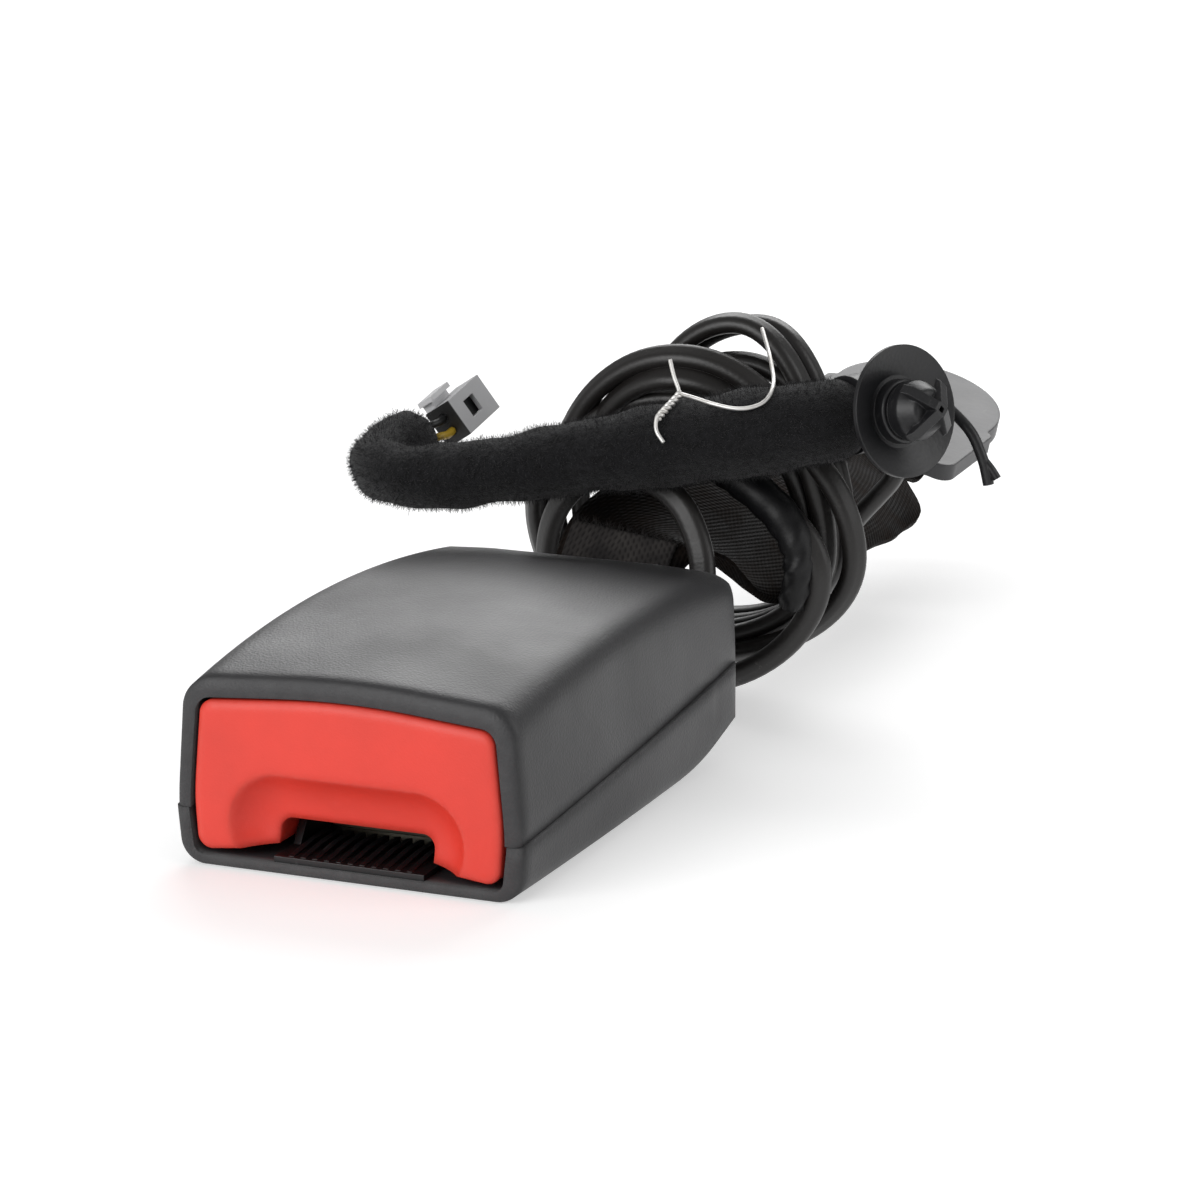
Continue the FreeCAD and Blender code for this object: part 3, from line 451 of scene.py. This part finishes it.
def woven_material(name, colour, worn, pitch):
    made = bpy.data.materials.new(name)
    made.use_nodes = True
    tree = made.node_tree
    shader = tree.nodes["Principled BSDF"]
    along = add(tree, "ShaderNodeAttribute", {"attribute_name": "along"}).outputs["Fac"]
    across = add(tree, "ShaderNodeAttribute", {"attribute_name": "across"}).outputs["Fac"]
    place = add(tree, "ShaderNodeTexCoord").outputs["Object"]
    weave = add(tree, "ShaderNodeGroup", {"node_tree": woven}, {"Pitch": pitch})
    link(tree, (along, weave.inputs["Along"]), (across, weave.inputs["Across"]))
    dust = spread(tree, noise(tree, 160.0, 5.0, place), 0.4, 0.7, 0.0, 1.0)
    dusted = mixed(tree, dust, colour, worn)
    # Painted shade: the weave's hollows are mixed towards a darker copy of the colour.
    shaded = mixed(tree, maths(tree, "MULTIPLY", weave.outputs["Valley shade"], 0.7), dusted,
                   tuple(c * 0.5 for c in colour))
    bump = add(tree, "ShaderNodeBump", values={"Strength": 0.7, "Distance": 0.0001})
    link(tree, (shaded, shader.inputs["Base Color"]), (weave.outputs["Height"], bump.inputs["Height"]),
         (bump.outputs["Normal"], shader.inputs["Normal"]),
         (spread(tree, dust, 0.0, 1.0, 0.62, 0.85), shader.inputs["Roughness"]))
    shader.inputs["Sheen Weight"].default_value = 0.02
    shader.inputs["Sheen Roughness"].default_value = 0.5
    shader.inputs["Specular IOR Level"].default_value = 0.04
    return made


belt = woven_material("Belt webbing", (0.0045, 0.0036, 0.0032), (0.013, 0.008, 0.0055), 0.0008)

stalk_stations = [
    ((0.0, 90.0, 16.5), 0, 0, 0),
    ((0.0, 98.2, 16.5), 0, 0, 0),
    ((0.8, 103.0, 20.0), -2, 50, 0),
    ((1.8, 107.0, 27.0), -3, 62, 2),
    ((3.6, 111.0, 33.0), -4, 48, 8),
    ((8.0, 119.0, 33.6), -6, 14, 34),
    ((11.5, 132.0, 32.5), -8, -3, 44),
    ((15.0, 154.0, 29.5), -6, -5, 44),
    ((15.8, 177.5, 28.0), -2, -4, 44),
    ((12.8, 194.5, 26.7), -3, 0, 36),
    ((9.5, 206.5, 25.6), -4, 5, 22),
    ((7.5, 214.0, 25.7), -5, 8, 15),
]


def fold_opened(y):
    """How much further the right half reaches: the lengthwise fold opens behind the housing and closes at
    the plate."""
    marks = [(0, 0.0), (107, 0.0), (113.5, 0.55), (119, 0.74), (128, 0.74), (146, 0.34), (175, 0.24),
             (192, 0.38), (202, 0.5), (214, 0.04), (300, 0.0)]
    for (start, low), (end, high) in zip(marks, marks[1:]):
        if start <= y < end:
            share = (y - start) / (end - start)
            return low + (high - low) * share * share * (3 - 2 * share)


stalk = swept_strip("webbing_stalk_woven", smooth_stations(stalk_stations, 6), 0.012, 0.00128, fold_opened)
stalk.data.materials.append(belt)
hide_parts("webbing_stalk")
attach(stalk, "buckle")

# The two plies part and go round the plate's bar.
anchor_turn = (Matrix.Rotation(math.radians(-5), 3, "Z") @ Matrix.Rotation(math.radians(15), 3, "Y")
               @ Matrix.Rotation(math.radians(8), 3, "X"))
anchor_place = from_buckle(8.3, 224.5, 27.0)
bar_round = 4.6
loop_line = [(-12.0, 0.7), (-9.0, 0.9), (-5.5, 2.6), (-2.8, 4.0)]
loop_line += [(bar_round * math.sin(a), bar_round * math.cos(a))
              for a in (math.pi * i / 12 for i in range(-1, 14))]
loop_line += [(-2.8, -4.0), (-5.5, -2.6), (-9.0, -0.9), (-12.0, -0.7)]
loop_mesh = bmesh.new()
along = loop_mesh.verts.layers.float.new("along")
across = loop_mesh.verts.layers.float.new("across")
rings = []
run = 0.0
for i, (y, z) in enumerate(loop_line):
    before, after = loop_line[max(0, i - 1)], loop_line[min(len(loop_line) - 1, i + 1)]
    out = Vector((0, before[1] - after[1], after[0] - before[0])).normalized()
    run += 0.001 * math.hypot(y - before[0], z - before[1])
    ring = []
    for side in (1, -1):
        for k in range(9):
            x = side * (3 * k - 12)
            half_ply = 0.38 if k in (0, 8) else 0.62
            place = Vector((x, y, z)) + out * side * half_ply
            vert = loop_mesh.verts.new(anchor_place + anchor_turn @ place / 1000)
            vert[along] = run
            vert[across] = x / 1000
            ring.append(vert)
    rings.append(ring)
skinned(loop_mesh, rings)
end_loop = finished("webbing_end_loop", loop_mesh)
end_loop.data.materials.append(belt)
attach(end_loop, "buckle")

# The cut end of the webbing lies on the stalk's face above the housing, its edge frayed and fluffy.
lap_stations = [
    ((0.8, 101.4, 21.2), -2, 52, 0),
    ((1.6, 104.0, 25.0), -3, 62, 1),
    ((2.2, 106.2, 29.5), -3, 60, 3),
    ((3.0, 108.6, 33.4), -4, 52, 6),
]
lap_half, lap_thick = 0.0104, 0.0006
lap = swept_strip("webbing_lap", smooth_stations(lap_stations, 6), lap_half, lap_thick)
# The lap gets a lighter copy of the belt webbing: partly wear on the cut end, partly painted light where it
# faces the lamps.
worn_lit_belt = woven_material("Worn belt webbing, painted lighter", (0.026, 0.024, 0.024), (0.06, 0.055, 0.052), 0.0009)
lap.data.materials.append(worn_lit_belt)
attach(lap, "buckle")


def blades(name, roots, width, material):
    """Short bent fibres. Each root is (place, direction, sideways bend)."""
    pile = bmesh.new()
    for root, lean, bend in roots:
        flat = lean.cross(bend if bend.length else Vector((0, 0, 1))).normalized() * width
        middle = root + lean * 0.55 + bend * 0.3
        tip = root + lean * 0.92 + bend
        a, b, c, d, e = (pile.verts.new(p) for p in (root - flat, root + flat, middle + flat * 0.8,
                                                     middle - flat * 0.8, tip))
        pile.faces.new((a, b, c, d))
        pile.faces.new((d, c, e))
    piece = finished(name, pile)
    piece.data.materials.append(material)
    return piece


random.seed(3)
frayed = []
upper_edge = station_matrix(Vector(lap_stations[-1][0]), Vector(lap_stations[-1][1:]))
for i in range(520):
    root = upper_edge @ Vector((random.uniform(-lap_half, lap_half),
                                random.uniform(-lap_thick, lap_thick / 2),
                                random.uniform(-lap_thick, lap_thick)))
    lean = upper_edge.to_3x3() @ Vector((random.uniform(-0.5, 0.5), random.uniform(0.2, 1.0),
                                         random.uniform(-0.6, 0.9)))
    bend = Vector((random.uniform(-1, 1), random.uniform(-1, 1), random.uniform(-1, 1))) * 0.0006
    frayed.append((root, lean.normalized() * random.uniform(0.0006, 0.0022), bend))
# The frayed fibres share the lap's lighter copy: worn, and partly painted light.
fray = blades("webbing_fray", frayed, width=0.00005, material=worn_lit_belt)
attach(fray, "buckle")


# ---- Switch lead ----
# A flat two-core lead from the buckle switch, 4.8 mm wide, in black PVC. It leaves the gland, arches over
# the stalk, goes once round it in a loose sleeve, makes its wound turns and runs into the fleece loom.

# The first arch and the turn that carries the sleeve.
lead_route = [
    (19.5, 98.9, 19.5), (19.3, 105.5, 23.5), (18.2, 107.4, 32.5), (12.9, 109.2, 41.2), (3.0, 111.0, 44.4),
    (-6.5, 112.5, 42.4), (-13.5, 114.2, 35.0), (-16.3, 116.0, 24.5), (-13.5, 117.5, 13.5), (-5.5, 118.0, 5.8),
    (6.5, 118.0, 2.8), (20.5, 118.0, 5.6), (31.0, 118.0, 12.8), (36.8, 118.0, 22.5), (36.2, 118.0, 31.0),
    (29.0, 118.0, 38.6), (18.0, 118.0, 45.3), (8.5, 118.6, 49.2),
]
# The wound turns, by the places where each one passes its top, left, bottom and right.
turn_places = [
    (0.0, 119.5, 50.5), (-20.8, 121.5, 32.0), (8.0, 124.0, 7.5), (41.0, 126.0, 28.0),
    (8.0, 124.0, 56.0), (-19.8, 124.8, 34.0), (8.0, 126.0, 10.0), (35.0, 126.5, 29.0),
    (9.0, 122.5, 64.0), (-18.5, 125.5, 33.0), (8.0, 128.0, 9.0), (32.0, 128.5, 27.0),
    (8.5, 120.5, 60.2), (-14.0, 127.0, 32.0), (8.0, 130.5, 10.5), (34.0, 131.0, 28.0),
    (15.5, 132.0, 69.0), (-7.4, 132.0, 30.0), (9.0, 133.0, 11.0), (36.0, 134.0, 30.0),
    (16.0, 133.0, 61.5), (-9.0, 134.5, 31.0), (9.0, 135.0, 9.5), (34.5, 135.5, 29.0),
    (18.0, 137.0, 68.0), (-8.0, 136.5, 31.0), (9.0, 137.0, 11.5), (33.5, 136.5, 28.0),
]
quarter_steps = 4
for quarter, (here, there) in enumerate(zip(turn_places, turn_places[1:])):
    for step in range(quarter_steps):
        angle = math.pi / 2 * step / quarter_steps
        rising, falling = math.sin(angle), 1 - math.cos(angle)
        across_share, up_share = (rising, falling) if quarter % 2 == 0 else (falling, rising)
        shares = (across_share, step / quarter_steps, up_share)
        lead_route.append(tuple(a + (b - a) * share for a, b, share in zip(here, there, shares)))
lead_route += [turn_places[-1], (36.2, 137.4, 32.2), (40.2, 139.8, 37.0), (42.4, 141.2, 39.8),
               (43.0, 141.8, 42.0)]

core_width = 0.0048
profile_data = bpy.data.curves.new("lead_section", "CURVE")
profile_data.dimensions = "2D"
section = profile_data.splines.new("POLY")
section_sides = 24
section.points.add(section_sides - 1)
for i, point in enumerate(section.points):
    angle = 2 * math.pi * i / section_sides
    groove = 1 - 0.13 * math.exp(-((math.cos(angle) / 0.3) ** 2))
    point.co = (0.5 * core_width * math.cos(angle), 0.39 * core_width * math.sin(angle) * groove, 0, 1)
section.use_cyclic_u = True
section_piece = bpy.data.objects.new("lead_section", profile_data)
bpy.context.scene.collection.objects.link(section_piece)
section_piece.hide_render = True


def cord_curve(name, route, section_object=None, radius=0.0):
    """A smooth cord through its route's points."""
    data = bpy.data.curves.new(name, "CURVE")
    data.dimensions = "3D"
    line = data.splines.new("NURBS")
    line.points.add(len(route) - 1)
    for point, place in zip(line.points, route):
        point.co = (*from_buckle(*place), 1)
    line.order_u = 3
    line.use_endpoint_u = True
    line.resolution_u = 6
    data.use_fill_caps = True
    data.twist_mode = "MINIMUM"
    if section_object is None:
        data.bevel_depth = radius
        data.bevel_resolution = 5
    else:
        data.bevel_mode = "OBJECT"
        data.bevel_object = section_object
    piece = bpy.data.objects.new(name, data)
    bpy.context.scene.collection.objects.link(piece)
    return piece


lead = cord_curve("switch_lead", lead_route, section_piece)
lead_jacket = moulded("Lead jacket", (0.012, 0.0105, 0.0098), (0.06, 0.056, 0.052), 0.42, 1500.0, 0.00002,
                      0.8, 0.0001)
lead.data.materials.append(lead_jacket)
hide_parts("lead_front", "lead_coil", "lead_tail")
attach(lead, "buckle")
dress(lead_jacket, "switch_pigtail")
grommet_rubber = moulded("Grommet rubber", (0.016, 0.016, 0.016), (0.05, 0.05, 0.05), 0.6, 1500.0, 0.00003,
                         0.4, 0.0004)
dress(grommet_rubber, "lead_grommet")


# ---- Fleece loom ----
# The lead's last stretch is wrapped in black fleece tape against rattles. Its fibres stand off all round,
# but not under the clip's band, which also squeezes the wrap.

loom_route = [
    (43.0, 141.8, 42.0), (45.6, 139.2, 51.5), (45.4, 128.5, 56.6), (39.6, 116.3, 55.3), (26.0, 110.5, 53.2),
    (14.0, 106.2, 51.2), (0.0, 101.8, 48.8), (-14.0, 98.0, 46.0), (-27.0, 94.6, 43.9), (-37.8, 93.4, 43.8),
    (-43.5, 103.4, 45.2), (-38.2, 113.2, 47.0),
]
loom_line = cord_curve("loom_line", loom_route)
loom_points = [v.co.copy() for v in bpy.data.meshes.new_from_object(loom_line).vertices]
bpy.data.objects.remove(loom_line)


def tube_along(points, radius_at, sides=20):
    """A round tube through the points, its radius given along its length."""
    mesh = bmesh.new()
    rings = []
    up = Vector((0, 0, 1))
    run = 0.0
    total = sum((b - a).length for a, b in zip(points, points[1:]))
    for i, point in enumerate(points):
        ahead = (points[min(i + 1, len(points) - 1)] - points[max(i - 1, 0)]).normalized()
        side = ahead.cross(up).normalized()
        over = side.cross(ahead).normalized()
        up = over
        if i:
            run += (point - points[i - 1]).length
        ring = []
        for k in range(sides):
            angle = 2 * math.pi * k / sides
            radius = radius_at(run / total, angle)
            ring.append(mesh.verts.new(point + (side * math.cos(angle) + over * math.sin(angle)) * radius))
        rings.append(ring)
    skinned(mesh, rings)
    return mesh


band_place = from_buckle(42.3, 121.6, 55.8)
band_at = min(range(len(loom_points)), key=lambda i: (loom_points[i] - band_place).length)
loom_steps = [(b - a).length for a, b in zip(loom_points, loom_points[1:])]
band_share = sum(loom_steps[:band_at]) / sum(loom_steps)


BARE_LOOM = 0.0056


def loom_radius(share, angle):
    """Thickest over a third of the way, rounded off at both ends and squeezed under the clip's band."""
    thick = BARE_LOOM + 0.0021 * math.exp(-((share - 0.36) / 0.24) ** 2)
    lumps = 0.00025 * math.sin(share * 47 + 2 * angle) + 0.0002 * math.sin(share * 91 - 3 * angle)
    end = min(1.0, 0.55 + share * 30, 0.55 + (1 - share) * 30)
    thick -= (thick - BARE_LOOM) * math.exp(-((share - band_share) / 0.03) ** 4)
    return (thick + lumps) * end


loom = finished("fleece_loom_wrap", tube_along(loom_points, loom_radius))
fleece = bpy.data.materials.new("Black fleece")
fleece.use_nodes = True
fleece_tree = fleece.node_tree
fleece_shader = fleece_tree.nodes["Principled BSDF"]
fleece_place = add(fleece_tree, "ShaderNodeTexCoord").outputs["Object"]
tufts = noise(fleece_tree, 900.0, 6.0, fleece_place, 0.75)
fleece_bump = add(fleece_tree, "ShaderNodeBump", values={"Strength": 1.0, "Distance": 0.0006})
link(fleece_tree, (mixed(fleece_tree, spread(fleece_tree, tufts, 0.35, 0.7, 0.0, 1.0),
                         (0.003, 0.003, 0.0035), (0.012, 0.012, 0.014)),
                   fleece_shader.inputs["Base Color"]),
     (tufts, fleece_bump.inputs["Height"]), (fleece_bump.outputs["Normal"], fleece_shader.inputs["Normal"]),
     (spread(fleece_tree, tufts, 0.3, 0.7, 0.95, 0.8), fleece_shader.inputs["Roughness"]))
fleece_shader.inputs["Sheen Weight"].default_value = 0.15
fleece_shader.inputs["Specular IOR Level"].default_value = 0.2
loom.data.materials.append(fleece)
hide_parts("fleece_loom")
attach(loom, "buckle")

random.seed(7)
stubble = []
fibre_count = 30000
band_clearance = 0.0082
faces = list(loom.data.polygons)
for face in random.choices(faces, weights=[f.area for f in faces], k=fibre_count):
    corners = [loom.data.vertices[i].co for i in face.vertices]
    root = corners[0].lerp(corners[1], random.random()).lerp(corners[-1].lerp(corners[2], random.random()),
                                                             random.random())
    if (root - band_place).length < band_clearance:
        continue
    tangent = face.normal.orthogonal().normalized()
    tangent.rotate(Matrix.Rotation(random.uniform(0, 2 * math.pi), 3, face.normal))
    length = random.uniform(0.0006, 0.0015) if random.random() < 0.92 else random.uniform(0.0015, 0.0024)
    lean = face.normal * random.uniform(0.3, 1.0) + tangent * random.uniform(0.2, 0.9)
    lean = lean.normalized() * length
    stubble.append((root, lean, tangent * random.uniform(-0.45, 0.45) * length))
pile_piece = blades("fleece_pile", stubble, width=0.000036, material=fleece)
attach(pile_piece, "buckle")


# ---- Sleeve ----
# A length of loose black tube slipped over the lead's first turn.
# Its lower end is squashed and creased where the lead bends out.

sleeve_route = [
    (8.0, 118.6, 49.4), (17.6, 117.9, 45.4), (27.6, 117.7, 39.0), (32.6, 117.4, 33.0), (33.6, 117.2, 27.0),
    (32.4, 117.0, 20.6),
]
sleeve_line = cord_curve("sleeve_line", sleeve_route)
sleeve_points = [v.co.copy() for v in bpy.data.meshes.new_from_object(sleeve_line).vertices]
bpy.data.objects.remove(sleeve_line)


def sleeve_radius(share, angle):
    """A slightly wavy tube, flattened and creased over its last third."""
    slack = max(0.0, (share - 0.62) / 0.38)
    flat = 1 + slack * (0.42 * math.cos(angle) ** 2 - 0.3)
    creases = slack * (0.00042 * math.sin(angle * 5 + share * 70)
                       + 0.0003 * math.sin(share * 140 + 2 * angle))
    waves = 0.00012 * math.sin(share * 55 + angle)
    return 0.0034 * flat + creases + waves


sleeve = finished("lead_sleeve_creased", tube_along(sleeve_points, sleeve_radius, 40))
sleeve_plastic = moulded("Sleeve tube", (0.003, 0.003, 0.0036), (0.02, 0.02, 0.022), 0.42, 1500.0, 0.00002,
                         0.6, 0.0001, 0.3)
sleeve.data.materials.append(sleeve_plastic)
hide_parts("lead_sleeve")
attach(sleeve, "buckle")


# ---- Loom clip ----
# A black nylon clip: a band strapped round the loom, a sprung dish and a stepped stud that presses into
# the seat's panel.

clip_nylon = moulded("Clip nylon", (0.0075, 0.0075, 0.0088), (0.05, 0.05, 0.05), 0.4, 1400.0, 0.00002, 0.7,
                     0.0003)
dress(clip_nylon, "clip_band", "clip_dish", "clip_tail")


# ---- Connector ----
# A small light grey two-way housing with a window over its terminals and a coding rail, on the loom's end.
# Two short cores, yellow and black, run into its recessed wire end.

def shaded_end(material, place, along, depth, colour):
    """Darkens the recessed wire end of a moulding, up to a depth along its axis."""
    tree = material.node_tree
    shader = tree.nodes["Principled BSDF"]
    base = shader.inputs["Base Color"].links[0].from_socket
    offset = add(tree, "ShaderNodeVectorMath", {"operation": "SUBTRACT"})
    offset.inputs[1].default_value = place
    reach = add(tree, "ShaderNodeVectorMath", {"operation": "DOT_PRODUCT"})
    reach.inputs[1].default_value = along
    link(tree, (add(tree, "ShaderNodeTexCoord").outputs["Object"], offset.inputs[0]),
         (offset.outputs["Vector"], reach.inputs[0]))
    mask = spread(tree, reach.outputs["Value"], depth, depth * 0.6, 0.0, 1.0)
    link(tree, (mixed(tree, mask, base, colour), shader.inputs["Base Color"]))


connector_place = from_buckle(-36.3, 118.2, 48.0)
connector_axes = Matrix(((0.552, -0.009, 0.833), (0.151, 0.985, -0.087), (-0.820, 0.173, 0.546)))
connector_plastic = moulded("Grey connector plastic", (0.5, 0.5, 0.51), (0.45, 0.45, 0.45), 0.4, 2500.0,
                            0.00001, 0.3, 0.0002)
shaded_end(connector_plastic, connector_place, along=(-0.009, 0.985, 0.173), depth=0.0004,
           colour=(0.012, 0.012, 0.012))
dress(connector_plastic, "connector_housing")
dress(moulded("Pale rail plastic", (0.66, 0.66, 0.67), (0.6, 0.6, 0.6), 0.4, 2500.0, 0.00001, 0.3, 0.0002),
      "connector_rail")
# A black block where the terminal carrier sits. It closes the window, and its black is painted shade for the
# window's inside.
window_shade_mesh = bmesh.new()
bmesh.ops.create_cube(window_shade_mesh, size=1.0)
for vert in window_shade_mesh.verts:
    x, y, z = vert.co
    place = Vector((x * 3.3, 8.6 + y * 8.3, 1.0 + z * 0.75))
    vert.co = connector_place + connector_axes @ place / 1000
bmesh.ops.bevel(window_shade_mesh, geom=list(window_shade_mesh.edges), offset=0.0001, segments=2, profile=0.5,
                affect="EDGES", material=-1)
window_shade_block = finished("connector_window_shade", window_shade_mesh, smooth=False)
window_shade_block.data.materials.append(guide_plastic)
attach(window_shade_block, "buckle")
# The terminals' tin is painted dark: painted shade for the inside of the window.
dress(metal("Tin plate darkened as in shade", (0.12, 0.12, 0.12), (0.08, 0.08, 0.08), 0.55), "connector_terminals")
dress(moulded("Yellow core", (0.62, 0.40, 0.03), (0.7, 0.55, 0.2), 0.4, 2500.0, 0.00001, 0.2, 0.0001),
      "core_wire_yellow")
dress(moulded("Black core", (0.012, 0.012, 0.012), (0.05, 0.05, 0.05), 0.4, 2500.0, 0.00001, 0.2, 0.0001),
      "core_wire_black")


# ---- Tie wire ----
# Thin annealed steel wire, put round the bundled lead by hand. It runs from the lead's highest hump
# to the loom, where it is twisted.

tie_route = [
    (14.7, 105.8, 60.3), (17.0, 104.7, 60.2), (19.1, 104.2, 59.9), (21.6, 103.5, 59.5), (25.5, 103.6, 58.9),
    (28.0, 104.4, 59.0), (30.3, 105.7, 59.8), (31.1, 107.6, 61.2), (30.0, 112.0, 62.6), (27.8, 116.6, 64.1),
    (25.6, 120.8, 65.8), (23.6, 124.2, 67.3), (22.0, 126.8, 68.6),
]
tie_radius = 0.00036
tie = cord_curve("tie_wire_bent", tie_route, radius=tie_radius)
tie_steel = metal("Annealed tie wire", (0.80, 0.79, 0.77), (0.62, 0.60, 0.57), 0.45)
tie.data.materials.append(tie_steel)
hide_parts("tie_wire")
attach(tie, "buckle")
# Its two ends wind round each other. The first one starts from a free tip, the second one ends in one.
twist_start, twist_end = Vector((14.7, 105.8, 60.3)), Vector((13.1, 99.5, 57.2))
twist_turns, twist_radius, twist_steps = 3.2, 0.42, 25
axis = (twist_end - twist_start).normalized()
side = axis.orthogonal().normalized()
over = axis.cross(side)
first_tip = [(12.5, 106.4, 66.2), (13.2, 106.2, 63.4), (14.3, 106.0, 61.2)]
last_tip = [(12.9, 98.6, 55.9), (13.5, 97.9, 54.6), (14.8, 97.8, 53.2)]
for strand, (phase, before, after) in enumerate(((0.0, first_tip, []), (math.pi, [], last_tip))):
    twisted = []
    for step in range(twist_steps + 1):
        share = step / twist_steps
        angle = phase + share * 2 * math.pi * twist_turns
        ring = (side * math.cos(angle) + over * math.sin(angle)) * twist_radius
        twisted.append(tuple(twist_start.lerp(twist_end, share) + ring))
    twist = cord_curve("tie_wire_twist_%d" % strand, before + twisted + after, radius=tie_radius)
    twist.data.materials.append(tie_steel)
    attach(twist, "buckle")


# ---- Studio ----
# A pale floor, a large soft light behind and above, softer fill from the front and the right, and the camera
# that was fitted to the photo.

floor_mesh = bmesh.new()
bmesh.ops.create_grid(floor_mesh, x_segments=1, y_segments=1, size=6.0)
floor = finished("studio_floor", floor_mesh, smooth=False)
floor_paper = bpy.data.materials.new("White paper")
floor_paper.use_nodes = True
paper = floor_paper.node_tree
paper_shader = paper.nodes["Principled BSDF"]
paper_shader.inputs["Base Color"].default_value = (0.8, 0.8, 0.8, 1)
paper_shader.inputs["Roughness"].default_value = 0.9
paper_shader.inputs["Specular IOR Level"].default_value = 0.1
glow = add(paper, "ShaderNodeEmission", values={"Color": (1, 1, 1, 1), "Strength": 0.42})
seen = add(paper, "ShaderNodeLightPath")
both = add(paper, "ShaderNodeAddShader")
chosen = add(paper, "ShaderNodeMixShader")
rays = maths(paper, "MAXIMUM", seen.outputs["Is Camera Ray"], seen.outputs["Is Glossy Ray"])
link(paper, (paper_shader.outputs["BSDF"], both.inputs[0]), (glow.outputs["Emission"], both.inputs[1]),
     (rays, chosen.inputs["Fac"]), (paper_shader.outputs["BSDF"], chosen.inputs[1]),
     (both.outputs["Shader"], chosen.inputs[2]),
     (chosen.outputs["Shader"], paper.nodes["Material Output"].inputs["Surface"]))
floor.data.materials.append(floor_paper)

world = bpy.data.worlds.new("Studio")
bpy.context.scene.world = world
world.use_nodes = True
sky = world.node_tree
ambient = sky.nodes["Background"]
ambient.inputs["Color"].default_value = (1, 1, 1, 1)
ambient.inputs["Strength"].default_value = 0.3
white = add(sky, "ShaderNodeBackground", values={"Color": (1, 1, 1, 1), "Strength": 1.0})
path = add(sky, "ShaderNodeLightPath")
pick = add(sky, "ShaderNodeMixShader")
link(sky, (path.outputs["Is Camera Ray"], pick.inputs["Fac"]),
     (ambient.outputs["Background"], pick.inputs[1]), (white.outputs["Background"], pick.inputs[2]),
     (pick.outputs["Shader"], sky.nodes["World Output"].inputs["Surface"]))


def soft_light(name, place, size, power):
    """A rectangular area light aimed at the row's middle."""
    data = bpy.data.lights.new(name, "AREA")
    data.shape = "RECTANGLE"
    data.size, data.size_y = size
    data.energy = power
    lamp = bpy.data.objects.new(name, data)
    lamp.location = place
    lamp.rotation_euler = (-Vector(place)).to_track_quat("-Z", "Y").to_euler()
    bpy.context.scene.collection.objects.link(lamp)


soft_light("top_rear_softbox", (-0.25, 1.05, 0.85), size=(1.2, 0.9), power=12.3)
soft_light("front_softbox", (-0.45, -1.2, 0.5), size=(1.0, 0.8), power=11)
soft_light("right_softbox", (1.2, 0.1, 0.6), size=(0.8, 0.8), power=4.5)

camera_data = bpy.data.cameras.new("camera")
camera_data.lens = 135
camera_data.sensor_width = 36
camera_data.sensor_fit = "AUTO"
camera_data.clip_start = 0.05
camera = bpy.data.objects.new("camera", camera_data)
camera.location = (0.30538, -0.74392, 0.22646)
yaw, pitch, roll = math.radians(23.07), math.radians(-14.715), math.radians(-0.243)
camera_turn = (Matrix.Rotation(yaw, 4, "Z") @ Matrix.Rotation(math.pi / 2 + pitch, 4, "X")
               @ Matrix.Rotation(roll, 4, "Z"))
camera.rotation_euler = camera_turn.to_euler()
bpy.context.scene.collection.objects.link(camera)
bpy.context.scene.camera = camera
bpy.context.scene.view_settings.view_transform = "Standard"
